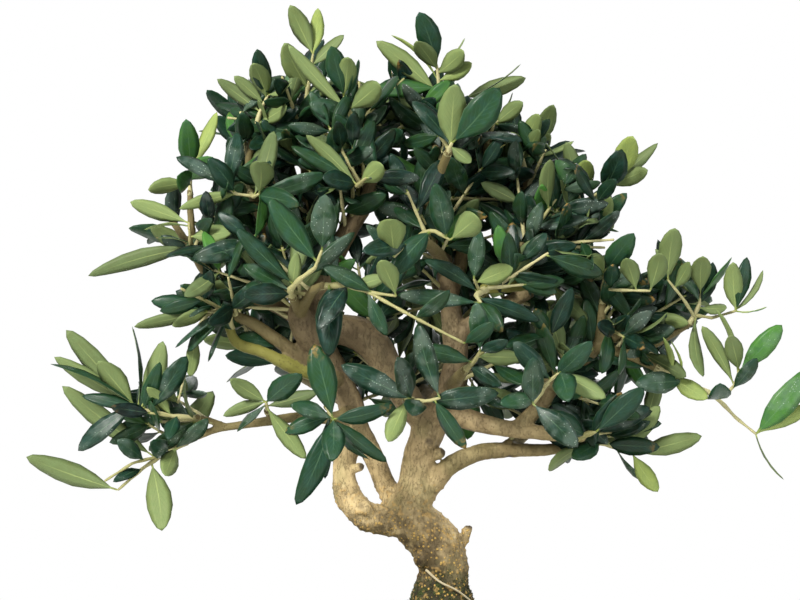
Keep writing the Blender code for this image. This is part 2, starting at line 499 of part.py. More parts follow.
def limb_parts():
    parts = []
    for rows in LIMBS.values():
        points = [on_sheet(*row[:3]) for row in rows]
        radii = [row[3] * MM for row in rows]
        parts.append(tube(points, radii, limb_sides(max(radii))))
    for start, end, radius in STUBS.values():
        parts.append(tube([on_sheet(*start), on_sheet(*end)], [radius * MM * 1.15, radius * MM], 5))
    return parts


def along_path(points, share):
    """The point, and the direction of the path there, at a share of the path's length."""
    lengths = [(after - before).length for before, after in zip(points, points[1:])]
    left = share * sum(lengths)
    for before, after, length in zip(points, points[1:], lengths):
        if left <= length + 1e-9:
            return before.lerp(after, left / length), (after - before).normalized()
        left -= length
    return points[-1], (points[-1] - points[-2]).normalized()


def clear_share(path, share, stem=0):
    """A share of the path that keeps a leaf's root clear of the limb that the first twig runs on from."""
    length = sum((after - before).length for before, after in zip(path, path[1:]))
    return max(share, LEAF_FIRST / length) if stem == 0 else share


def shoot_paths(parent, stems):
    """The main twig's path from the limb's tip, and the paths of the twigs that fork from it."""
    end, direction, _ = limb_end(parent)
    paths = [[end + direction * GAP] + [on_sheet(*row) for row in stems[0]]]
    for stem in stems[1:]:
        fork, _ = along_path(paths[0], stem[0][0])
        paths.append([fork] + [on_sheet(*row) for row in stem[1:]])
    return paths


def twig_parts(parent, paths):
    _, direction, radius = limb_end(parent)
    parts = []
    for index, path in enumerate(paths):
        start = SIDE_TWIG_RADIUS if index else radius * TWIG_START_SHARE
        steps = len(path) - 1
        radii = [start + (TWIG_TIP_RADIUS - start) * step / steps for step in range(steps + 1)]
        if index:
            parts.append(tube(path, radii, SIDE_TWIG_SIDES))
        else:
            parts.append(tube(path, radii, TWIG_SIDES, direction))
    return parts


def leaf_frame(base, tip, turn):
    """Unit vectors of a leaf: along it, out of its upper side, and across it.

    At a turn of 0 the upper side faces the front as squarely as the leaf's direction allows.
    """
    along = (tip - base).normalized()
    front = Vector((0, -1, 0))
    up = (front - along * front.dot(along)).normalized()
    side = along.cross(up)
    angle = math.radians(turn)
    upper = up * math.cos(angle) + side * math.sin(angle)
    return along, upper, upper.cross(along)


def blade(base, tip, turn, width, grow=0.0):
    """A leaf: a pointed outline of full thickness, arched along its length."""
    along, upper, across = leaf_frame(base, tip, turn)
    length = (tip - base).length
    outline = SMALL_LEAF_OUTLINE if width < SMALL_LEAF_WIDTH * MM else LEAF_OUTLINE

    def spine(share):
        arch = LEAF_ARCH * length * 4 * share * (1 - share)
        return base + along * length * share + upper * arch

    rim = [base - along * (LEAF_SUNK + grow)]
    rim += [spine(share) + across * (width / 2 * part + grow) for share, part in outline]
    rim.append(tip + along * grow)
    rim += [spine(share) - across * (width / 2 * part + grow) for share, part in reversed(outline)]
    thick = LEAF_THICK / 2 + grow
    points = [point + upper * thick for point in rim] + [point - upper * thick for point in rim]
    count = len(rim)
    pairs = len(outline)
    flat = [(0, pairs * 2 + 1, 1)]
    for step in range(1, pairs):
        left, right = step, count - step
        flat += [(left, right, right - 1), (left, right - 1, left + 1)]
    flat.append((pairs, pairs + 2, pairs + 1))
    faces = flat + [tuple(count + corner for corner in reversed(face)) for face in flat]
    for corner in range(count):
        after = (corner + 1) % count
        faces += [(corner, after, count + after), (corner, count + after, count + corner)]
    return points, faces


def tip_depth(base, column, row, width):
    """The depth at which a leaf of this width has nearly its usual length, in front of its root."""
    usual = min(max(width * LEAF_RATIO, LEAF_LENGTHS[0]), LEAF_LENGTHS[1])
    seen = on_sheet(column, row, depth_of(base))
    short = usual ** 2 - (seen - base).length ** 2
    return depth_of(base) - LEAF_FORWARD * math.sqrt(max(short, 0)) / MM


def tree_of(parts):
    points = []
    faces = []
    for part_points, part_faces in parts:
        first = len(points)
        points += part_points
        faces += [tuple(first + corner for corner in face) for face in part_faces]
    return BVHTree.FromPolygons(points, faces, epsilon=0.0)


def clear_of(part, trees):
    test = tree_of([part])
    return not any(tree.overlap(test) for tree in trees)


def seen_leaf_choices(paths, leaf):
    """Root, tip and turn of a drawn leaf, first as drawn and then bent clear step by step."""
    stem, share, column, row, turn, width = leaf[:6]
    base, _ = along_path(paths[stem], clear_share(paths[stem], share, stem))
    usual = leaf[6] + depth_of(base) if len(leaf) > 6 else tip_depth(base, column, row, width * MM)
    for shorter in LENGTH_TRIES:
        for extra in TURN_TRIES:
            for step in DEPTH_TRIES:
                tip = base.lerp(on_sheet(column, row, usual + step), shorter)
                yield base, tip, turn + extra, width * MM * (1 + shorter) / 2


def ruled_leaf_choices(path, share, side, roll, width, length):
    """Root, tip and turn of a leaf that the rule sets, its upper side towards the twig's end."""
    base, direction = along_path(path, share)
    across = direction.orthogonal().normalized()
    other = direction.cross(across)
    for shorter in LENGTH_TRIES:
        for spread in SPREAD_TRIES:
            for extra in ROLL_TRIES:
                angle = math.radians(roll + extra + side * 180)
                out = across * math.cos(angle) + other * math.sin(angle)
                lean = math.radians(spread)
                along = direction * math.cos(lean) + out * math.sin(lean)
                tip = base + along * length * shorter
                upper = (direction - along * direction.dot(along)).normalized()
                _, up, cross = leaf_frame(base, tip, 0)
                turn = math.degrees(math.atan2(upper.dot(-cross), upper.dot(up)))
                yield base, tip, turn, width * (1 + shorter) / 2


def ruled_leaves(path, roll):
    """Opposite pairs up the twig, each pair square to the last, and one leaf at the tip."""
    for pair, (share, width) in enumerate(zip(RULED_SHARES, RULED_WIDTHS)):
        length = width * MM * LEAF_RATIO
        for side in (0, 1):
            yield ruled_leaf_choices(path, share, side, roll + 90 * pair, width * MM, length)
    base, direction = along_path(path, 1.0)
    tip = base + direction * RULED_TIP_LENGTH * MM
    yield [(base, tip, roll, RULED_TIP_WIDTH * MM)]


def blade_end(base, tip, turn, width):
    """The outer part of a leaf, which its neighbours on the same twig are kept clear of."""
    return blade(base.lerp(tip, OWN_CLEAR_FROM), tip, turn, width)


def drawn_shoots():
    """Each shoot's limb, its twigs' paths and the places that its leaves may take, in order."""
    shoots = {}
    for name, (parent, stems, leaves) in SEEN_SHOOTS.items():
        paths = shoot_paths(parent, stems)
        shoots[name] = (parent, paths, [seen_leaf_choices(paths, leaf) for leaf in leaves])
    for name, (parent, stem, roll) in RULED_SHOOTS.items():
        paths = shoot_paths(parent, [stem])
        shoots[name] = (parent, paths, list(ruled_leaves(paths[0], roll)))
    return shoots


def first_clear(choices, trees, own):
    """The first place clear of everything, or else the first that crosses only its own shoot's leaves."""
    spare = None
    for choice in choices:
        if not clear_of(blade(*choice, grow=LEAF_CLEARANCE), trees):
            continue
        if clear_of(blade_end(*choice), own):
            return choice
        spare = spare or choice
    return spare


def make_shoots(wood_parts):
    """Each leafy shoot is one body: its twigs and leaves, bent clear of the wood and other shoots."""
    shoots = drawn_shoots()
    twigs = {name: twig_parts(parent, paths) for name, (parent, paths, _) in shoots.items()}
    wood = tree_of(wood_parts)
    blades = []
    for name, (_, _, leaves) in shoots.items():
        others = [part for other, parts in twigs.items() if other != name for part in parts]
        trees = [wood, tree_of(others + blades)]
        places = []
        for number, choices in enumerate(leaves):
            place = first_clear(choices, trees, [tree_of([blade_end(*before)]) for before in places])
            if place:
                places.append(place)
            else:
                print("no room for leaf", number, "of", name)
        own = [blade(*place) for place in places]
        blades += own
        unite(name, twigs[name] + own, finish(f"leaf_{name}", SHOOT_GREEN, 0.42), SHOOT_SOLVER)
    print("leaves:", len(blades))


def pot_outline(length, depth, height):
    """A rectangle with round corners, as one closed curve: |x/a|^n + |y/b|^n = 1."""
    loop = []
    for step in range(POT_SIDES):
        turn = 2 * math.pi * step / POT_SIDES
        across = math.copysign(abs(math.cos(turn)) ** (2 / POT_SQUARENESS), math.cos(turn))
        back = math.copysign(abs(math.sin(turn)) ** (2 / POT_SQUARENESS), math.sin(turn))
        loop.append(Vector((length / 2 * across, depth / 2 * back, height)))
    return loop


def pot_inside(height, gap=0.0):
    """The pot's inner outline at a height, less a gap."""
    floor = POT_FOOT_HEIGHT + POT_FLOOR
    share = (height - floor) / (POT_HEIGHT - floor)
    wide = shrunk_outline(LIP_OUT + POT_WALL + gap, height)
    narrow = shrunk_outline(LIP_OUT + POT_WALL + gap + POT_TAPER, height)
    return [low.lerp(high, share) for low, high in zip(narrow, wide)]


def shrunk_outline(inset, height):
    return pot_outline(POT_LENGTH - 2 * inset, POT_DEPTH - 2 * inset, height)


def make_pot():
    """A plain stoneware tray: tapered walls, a lip round the rim, four feet and two drain holes."""
    lip = POT_HEIGHT - LIP_HEIGHT
    loops = [
        shrunk_outline(LIP_OUT + POT_TAPER + POT_EDGE, POT_FOOT_HEIGHT),
        shrunk_outline(LIP_OUT + POT_TAPER, POT_FOOT_HEIGHT + POT_EDGE),
        shrunk_outline(LIP_OUT, lip),
        shrunk_outline(0, lip),
        shrunk_outline(0, POT_HEIGHT - POT_EDGE / 2),
        shrunk_outline(POT_EDGE / 2, POT_HEIGHT),
        pot_inside(POT_HEIGHT),
        pot_inside(POT_FOOT_HEIGHT + POT_FLOOR),
    ]
    parts = [capped_rings(loops)]
    for side, end in ((1, 1), (1, -1), (-1, 1), (-1, -1)):
        middle = Vector((side * FOOT_FROM_MIDDLE[0], end * FOOT_FROM_MIDDLE[1], 0))
        parts.append(foot_block(middle))
    clay = finish("stoneware", STONEWARE, 0.55)
    pot = unite("pot", parts, clay)
    for side in (-1, 1):
        hole = drain_cutter(side * DRAIN_FROM_MIDDLE)
        cut = pot.modifiers.new("drain", "BOOLEAN")
        cut.operation = "DIFFERENCE"
        cut.object = hole
        cut.solver = "EXACT"


def foot_block(middle):
    """A low foot whose sides lean in towards the ground, sunk into the pot's underside."""
    loops = []
    for size, height in ((1 - FOOT_LEAN, 0), (1, POT_FOOT_HEIGHT + FOOT_SUNK)):
        half_x = FOOT_SIZE[0] / 2 * size
        half_y = FOOT_SIZE[1] / 2 * size
        corners = ((half_x, half_y), (-half_x, half_y), (-half_x, -half_y), (half_x, -half_y))
        loops.append([middle + Vector((x, y, height)) for x, y in corners])
    return capped_rings(loops)


def drain_cutter(x):
    """A round cutter through the pot's floor."""
    top = POT_FOOT_HEIGHT + POT_FLOOR + FOOT_SUNK
    points, faces = tube([Vector((x, 0, 0)), Vector((x, 0, top))], [DRAIN_RADIUS] * 2, 14)
    cutter = make_object("drain_cutter", points, faces)
    cutter.hide_render = True
    cutter.display_type = "WIRE"
    return cutter


def make_screen(name, x):
    """A square of plastic mesh on the pot's floor, over a drain hole."""
    hole = (SCREEN_SIZE - SCREEN_BARS * SCREEN_BAR) / (SCREEN_BARS - 1)
    lines = [-SCREEN_SIZE / 2]
    for bar in range(SCREEN_BARS):
        lines.append(lines[-1] + SCREEN_BAR)
        if bar + 1 < SCREEN_BARS:
            lines.append(lines[-1] + hole)
    bottom = POT_FOOT_HEIGHT + POT_FLOOR + GAP
    mesh = bmesh.new()
    corners = [[mesh.verts.new((x + across, back, bottom)) for back in lines] for across in lines]
    for row in range(len(lines) - 1):
        for column in range(len(lines) - 1):
            if row % 2 and column % 2:
                continue
            below = corners[row]
            above = corners[row + 1]
            mesh.faces.new((below[column], below[column + 1], above[column + 1], above[column]))
    grown = bmesh.ops.extrude_face_region(mesh, geom=mesh.faces[:])
    lifted = [item for item in grown["geom"] if isinstance(item, bmesh.types.BMVert)]
    bmesh.ops.translate(mesh, vec=(0, 0, SCREEN_THICK), verts=lifted)
    bmesh.ops.recalc_face_normals(mesh, faces=mesh.faces[:])
    data = bpy.data.meshes.new(name)
    mesh.to_mesh(data)
    mesh.free()
    data.materials.append(finish(name, SCREEN_BLACK, 0.5))
    item = bpy.data.objects.new(name, data)
    bpy.context.scene.collection.objects.link(item)


def trunk_foot():
    return on_sheet(*LIMBS["trunk"][0][:3])


def mound_loop(share):
    """The soil's surface: a ring from the trunk, at a share of 0, out to the pot's wall, at 1."""
    rim = POT_HEIGHT - SOIL_RIM_DROP
    radius = LIMBS["trunk"][0][3] * MM + SOIL_HOLE_GAP
    middle = trunk_foot()
    loop = []
    for outer in pot_inside(rim, GAP):
        away = Vector((outer.x - middle.x, outer.y - middle.y, 0)).normalized()
        inner = Vector((middle.x, middle.y, 0)) + away * radius
        height = rim + (MOUND_HEIGHT - rim) * (1 - share) ** MOUND_POWER
        point = inner.lerp(outer, share)
        loop.append(Vector((point.x, point.y, height)))
    return loop


def make_soil():
    """The planting soil: it fills the pot up to a mound, with a blind hole for the trunk's foot."""
    bottom = POT_FOOT_HEIGHT + POT_FLOOR + SCREEN_THICK + 2 * GAP
    loops = [pot_inside(bottom, GAP)]
    loops += [mound_loop(share) for share in reversed((*MOUND_SHARES, 1.0))]
    hole_bottom = trunk_foot().z - GAP
    loops.append([Vector((point.x, point.y, hole_bottom)) for point in mound_loop(0)])
    make_object("soil", *capped_rings(loops), finish("soil", SOIL_BROWN, 0.95))


def make_moss():
    """A carpet of moss on the mound, with uneven thickness and a wandering outer edge."""
    lower = [mound_loop(share) for share in MOUND_SHARES]
    edge = []
    for index, (near, far) in enumerate(zip(lower[-2], lower[-1])):
        turn = 2 * math.pi * index / POT_SIDES
        wander = 0.6 + 0.22 * math.sin(2 * turn + 0.8) + 0.14 * math.sin(5 * turn)
        edge.append(near.lerp(far, wander))
    lower[-1] = edge
    upper = []
    for ring, (loop, height) in enumerate(zip(lower, MOSS_HEIGHTS)):
        upper.append([])
        for index, point in enumerate(loop):
            turn = 2 * math.pi * index / POT_SIDES
            uneven = 1 + 0.22 * math.sin(3 * turn + 2.1 * ring) + 0.14 * math.sin(5 * turn + ring)
            upper[-1].append(point + Vector((0, 0, MOSS_GAP + height * uneven)))
    under = [[point + Vector((0, 0, MOSS_GAP)) for point in loop] for loop in lower]
    loops = under + upper[::-1]
    points = [point for loop in loops for point in loop]
    faces = ring_faces(len(loops), POT_SIDES, joined=True)
    make_object("moss", points, faces, finish("moss", MOSS_GREEN, 0.95))


def main():
    clear_scene()
    make_pot()
    make_screen("drain_screen_left", -DRAIN_FROM_MIDDLE)
    make_screen("drain_screen_right", DRAIN_FROM_MIDDLE)
    make_soil()
    make_moss()
    wood_parts = limb_parts()
    unite("trunk", wood_parts, finish("bark", BARK, 0.8), WOOD_SOLVER)
    make_shoots(wood_parts)


main()
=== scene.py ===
# %% [markdown]
# # An olive bonsai in its pot
#
# The object is an old olive, kept small for years in a shallow pot. It has a bent trunk, limbs that
# twist round each other, and a wide crown of leathery leaves, dark above and pale beneath. This
# lesson dresses its measured solids: each node of the frame gets a finer piece that keeps its place.
# The frame is loaded first, because every size below is worked out from it or repeats its rules.

# %% Load the measured frame
import json
import math
from itertools import combinations

import bpy
import numpy as np
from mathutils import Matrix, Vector
from mathutils.bvhtree import BVHTree

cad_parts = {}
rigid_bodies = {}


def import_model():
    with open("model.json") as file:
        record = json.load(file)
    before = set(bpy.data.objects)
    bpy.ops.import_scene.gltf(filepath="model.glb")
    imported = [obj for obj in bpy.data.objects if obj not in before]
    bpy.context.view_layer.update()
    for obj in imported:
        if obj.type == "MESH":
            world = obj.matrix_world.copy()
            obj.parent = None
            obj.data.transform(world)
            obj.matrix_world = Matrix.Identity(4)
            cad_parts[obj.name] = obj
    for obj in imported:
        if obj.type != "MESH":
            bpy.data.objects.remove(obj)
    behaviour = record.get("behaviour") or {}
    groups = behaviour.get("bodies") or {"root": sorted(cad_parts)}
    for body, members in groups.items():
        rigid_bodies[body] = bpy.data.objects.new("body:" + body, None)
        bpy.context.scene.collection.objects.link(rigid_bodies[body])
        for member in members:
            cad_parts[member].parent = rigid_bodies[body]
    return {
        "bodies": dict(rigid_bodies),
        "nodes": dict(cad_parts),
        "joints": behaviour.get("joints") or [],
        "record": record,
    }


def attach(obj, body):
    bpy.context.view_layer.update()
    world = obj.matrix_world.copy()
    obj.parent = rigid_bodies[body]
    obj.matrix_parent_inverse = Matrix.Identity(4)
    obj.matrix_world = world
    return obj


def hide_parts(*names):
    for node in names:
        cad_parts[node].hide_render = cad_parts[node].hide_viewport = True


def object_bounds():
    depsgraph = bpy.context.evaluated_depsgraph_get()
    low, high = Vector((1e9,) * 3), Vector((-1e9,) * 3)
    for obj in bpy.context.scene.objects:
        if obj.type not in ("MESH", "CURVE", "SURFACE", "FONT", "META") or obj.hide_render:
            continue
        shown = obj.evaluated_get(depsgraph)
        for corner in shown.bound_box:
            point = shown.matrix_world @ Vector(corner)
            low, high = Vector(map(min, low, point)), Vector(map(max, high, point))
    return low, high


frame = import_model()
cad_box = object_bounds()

print("nodes in the frame:", len(frame["nodes"]))

# %% [markdown]
# ## The drawing sheet
#
# The branches were drawn on a front sheet, as one would sketch a tree from the front: a
# column, a row, and a depth behind the sheet. The sheet is seen from one eye point, so a point
# behind the plane has to move out from the middle of the view to stay on its line of sight. The
# same few numbers place every limb, twig and leaf.

# %% Sheet sizes and the place of a point
SHEET = 0.00058
MM = 0.001
SHEET_MIDDLE = 420
SHEET_Y = -0.009
SOIL_ROW = 603
SOIL_HEIGHT = 0.068
EYE_DISTANCE = 1.5
EYE_X = -0.0116
EYE_Z = 0.2437
GAP = 0.0003


def on_sheet(column, row, depth):
    """The place in space of a point that the front view shows at a column and a row."""
    x = (column - SHEET_MIDDLE) * SHEET
    z = SOIL_HEIGHT + (SOIL_ROW - row) * SHEET
    spread = 1 + depth * MM / EYE_DISTANCE
    return Vector((EYE_X + (x - EYE_X) * spread, SHEET_Y + depth * MM, EYE_Z + (z - EYE_Z) * spread))


def depth_of(point):
    return (point.y - SHEET_Y) / MM


print("soil at the trunk:", on_sheet(442, SOIL_ROW, 0))

# %% [markdown]
# ## The limbs, as drawn
#
# Each limb is a short list of points with a radius. A real limb is never straight for long, and these
# bends carry the likeness of the tree, so they are listed one by one. What lies between the points is
# left to a smooth curve. A limb starts inside the one that it grows from, and a stub is a limb that
# was cut off long ago.

# %% Points of the limbs: column, row, depth, radius in millimetres
LIMBS = {
    "trunk": [(442, 676, 0, 14.5), (442, 595, 0, 14.5), (443.5, 580, 0, 13.4), (442.5, 563, 0, 14.8),
        (437, 547, 0, 15.4), (424, 531, 0, 14.4), (410, 518, 0, 13.4), (399, 509, 0, 11.5)],
    "left_loop": [(410, 519, 0, 11.5), (388, 521, 0, 9.2), (367, 516, 0, 8.4), (351, 502, 1, 8),
        (344.5, 482, 3, 7.4), (345, 460, 5, 7.2), (350, 438, 6, 7.4), (353, 415, 6, 7.6),
        (346, 392, 5, 7.2), (334, 368, 3, 7.2), (322, 346, 1, 7.6), (312, 322, 0, 7)],
    "middle_limb": [(402, 512, 3, 8), (387, 488, 7, 6.2), (376, 464, 9, 6), (366, 441, 9, 6),
        (355, 418, 7, 6)],
    "centre_limb": [(404, 516, 0, 12), (412, 494, 0, 10.5), (416, 472, -1, 9.4), (421, 449, -1, 9.4),
        (431, 426, 0, 10.2), (443, 406, 4, 9.4), (452, 384, 9, 8.4), (456, 360, 14, 7.6),
        (454, 332, 18, 7), (449, 300, 18, 6.2), (444, 265, 14, 5.4), (436, 230, 6, 4.8),
        (429, 198, -2, 4.2), (434, 165, -4, 3.2), (438, 130, -4, 2.6), (438, 104, -4, 2.1)],
    "arch": [(430, 428, -1, 8), (412, 404, -2, 8.6), (394, 382, -3, 9), (382, 358, -4, 9.4),
        (364, 338, -4, 9.8), (342, 330, -3, 9.4), (318, 332, -1, 7.6)],
    "rising_limb": [(314, 334, 0, 7.4), (318, 302, 4, 7), (328, 268, 8, 6.4), (346, 234, 9, 5.8),
        (364, 206, 8, 5.2), (372, 172, 4, 4.2), (364, 144, -4, 3.2), (355, 126, -12, 2.4)],
    "stump": [(320, 348, -3, 7), (307, 334, -8, 7.8), (300, 317, -10, 7.2), (297, 304, -11, 5)],
    "left_branch": [(326, 368, 2, 5.8), (302, 357, -3, 4.8), (277, 340, -6, 4), (252, 323, -8, 3.5),
        (234, 316, -9, 3), (216, 310, -9, 2.4)],
    "left_lower_branch": [(326, 374, 2, 5.2), (302, 371, -4, 4.3), (284, 363, -8, 3.9),
        (262, 352, -10, 3.5), (237, 343, -12, 3.2), (228, 324, -12, 2.6)],
    "low_left_branch": [(352, 410, 2, 4.6), (335, 418, -4, 3.8), (301, 417, -8, 3.2),
        (270, 421, -10, 2.8), (242, 425, -10, 2.5), (214, 430, -10, 2.2), (182, 444, -11, 1.9)],
    "low_left_fork": [(226, 427, -10, 2.2), (208, 420, -14, 1.9), (196, 417, -21, 1.7)],
    "low_left_spur": [(272, 420, -10, 2.4), (266, 410, -20, 1.8)],
    "right_branch": [(446, 412, 0, 7), (470, 420, -6, 6), (498, 427, -10, 5.2), (540, 433, -14, 4.4),
        (584, 437, -22, 3.2)],
    "right_low_branch": [(420, 498, 0, 8), (436, 480, -2, 6.4), (452, 465, -4, 5.8),
        (478, 453, -4, 5.2), (508, 450, -2, 4.5), (543, 450, 2, 3.6), (578, 446, 4, 2.6)],
    "right_rising_branch": [(516, 430, -11, 4.8), (543, 402, -8, 4.4), (556, 383, -6, 4.2),
        (578, 364, -6, 4), (600, 345, -8, 3.9), (622, 331, -10, 3.3), (644, 322, -12, 3)],
    "right_upright": [(598, 347, -8, 3.2), (601, 320, -6, 2.7), (603, 298, -6, 2.1)],
    "right_reach": [(600, 347, -8, 3.2), (630, 356, -12, 2.8), (660, 370, -14, 2.2)],
    "right_far_branch": [(626, 354, -12, 2.4), (648, 348, -12, 2.2), (672, 335, -12, 2),
        (694, 321, -12, 1.8)],
    "shoulder_branch": [(454, 338, 17, 6), (482, 318, 16, 5.2), (514, 300, 12, 4.6),
        (545, 278, 8, 4.1), (566, 248, 4, 3.5), (581, 218, 0, 2.6)],
    "olive_branch": [(548, 280, 7, 4), (528, 284, -8, 3.9), (502, 287, -30, 3.5), (482, 289, -42, 2.8)],
    "shoulder_upright": [(543, 280, 9, 3.8), (536, 240, 12, 3), (529, 200, 12, 2.5), (524, 166, 10, 2)],
    "crest_stem": [(449, 300, 18, 5), (462, 255, 24, 4.2), (474, 205, 22, 3.5), (483, 165, 16, 2.9),
        (489, 138, 12, 2.2)],
    "cut_stem": [(430, 205, -2, 3.8), (434, 188, -20, 3.2), (449, 150, -40, 2.4)],
    "left_upper_branch": [(313, 326, 0, 6), (290, 312, -2, 5), (262, 300, -4, 4.2),
        (232, 292, -4, 3.6), (212, 280, -4, 3), (196, 256, -4, 2.6), (191, 220, -6, 2.2),
        (190, 190, -8, 1.8)],
    "left_stub": [(204, 268, -3, 2.6), (187, 243, -2, 2.4), (171, 219, -1, 2.1)],
    "left_spur": [(196, 256, -4, 2.2), (193, 251, -13, 1.8)],
    "left_rising_branch": [(314, 316, 2, 5.2), (290, 275, 6, 4.6), (268, 232, 5, 3.8),
        (252, 190, 1, 3.1), (249, 158, -2, 2.5), (255, 130, -4, 2)],
    "left_inner_spur": [(253, 193, 1, 2.8), (250, 194, -22, 2)],
    "apex_stem": [(330, 264, 8, 5), (318, 225, 9, 4.2), (308, 185, 7, 3.4), (304, 150, 4, 2.8),
        (306, 116, 0, 2.1)],
    "high_spur": [(372, 176, 4, 3.2), (364, 180, -20, 2.4), (359, 184, -32, 1.9)],
    "front_left_limb": [(338, 376, 2, 4.6), (331, 392, -25, 3.2), (327, 408, -48, 2.2)],
    "front_low_limb": [(414, 406, -4, 5), (408, 401, -35, 3.4), (406, 398, -58, 2.3)],
    "front_mid_limb": [(450, 390, 6, 5), (458, 378, -25, 3.8), (466, 369, -52, 2.4)],
    "front_stump_twig": [(299, 310, -12, 3.4), (292, 297, -48, 2.3)],
    "front_twig": [(300, 314, -14, 3.6), (312, 292, -42, 2.9), (324, 285, -58, 2.2)],
    "front_high_limb": [(444, 265, 12, 4.6), (438, 254, -12, 3.8), (428, 244, -42, 3),
        (420, 239, -60, 2.2)],
    "front_right_limb": [(556, 385, -6, 3.8), (552, 384, -32, 3), (545, 382, -55, 2.2)],
    "front_shoulder_limb": [(536, 240, 12, 3), (528, 246, -12, 2.6), (520, 245, -38, 2)],
    "back_centre_limb": [(454, 338, 16, 6), (452, 322, 42, 4.8), (442, 300, 66, 3.8),
        (434, 282, 77, 2.4)],
    "back_left_limb": [(326, 290, 6, 6), (306, 278, 32, 4.8), (284, 264, 56, 3.8), (266, 250, 72, 2.4)],
    "back_right_limb": [(482, 318, 16, 4.8), (508, 302, 40, 4), (534, 286, 61, 3.2),
        (552, 270, 74, 2.2)],
    "back_top_limb": [(372, 178, 5, 4), (384, 158, 30, 3.2), (390, 136, 52, 2.2)],
    "back_low_limb": [(440, 408, 4, 6), (430, 396, 34, 4.6), (418, 386, 60, 3.6), (408, 376, 74, 2.4)],
    "back_low_left_limb": [(350, 402, 6, 5), (326, 390, 30, 4), (304, 378, 54, 3.2),
        (284, 368, 69, 2.2)],
    "back_low_right_limb": [(510, 449, 0, 4), (528, 432, 26, 3.2), (552, 414, 50, 2.2)],
    "back_left_high_limb": [(311, 200, 8, 3.4), (276, 180, 30, 3), (256, 162, 50, 2.2)],
    "back_right_high_limb": [(470, 222, 22, 3.6), (496, 200, 42, 3), (516, 182, 60, 2.2)],
    "back_far_right_limb": [(600, 345, -8, 3.4), (622, 330, 14, 2.8), (640, 312, 34, 2)],
    "back_far_left_limb": [(232, 292, -4, 3.4), (216, 280, 18, 2.8), (200, 264, 38, 2)],
}

STUBS = {
    "trunk_stub": ((462, 545, -2), (469, 527, -3), 2.4),
    "loop_knot": ((366, 510, -6), (362, 507, -9), 4.6),
    "left_knot": ((352, 470, 0), (362, 466, -7), 2.6),
    "centre_knot": ((428, 443, -6), (429, 442, -11), 4.0),
    "low_knot": ((432, 456, -5), (442, 452, -9), 3.2),
    "foot_knot": ((424, 560, -8), (419, 562, -12), 4.2),
    "right_knot": ((508, 440, -2), (509, 456, -3), 2.0),
    "branch_knot": ((592, 354, -9), (590, 345, -12), 2.4),
}
print("limbs:", len(LIMBS), "cut stubs:", len(STUBS))

# %% [markdown]
# ## The leafy shoots, as drawn
#
# The leaves that make the outline of the crown are drawn one by one, because their places are what
# makes this tree and not another. Each is only a root on its twig, a tip, a turn and a width. The
# rest of the leaf, its belly, fold and curl, comes from a formula further down.

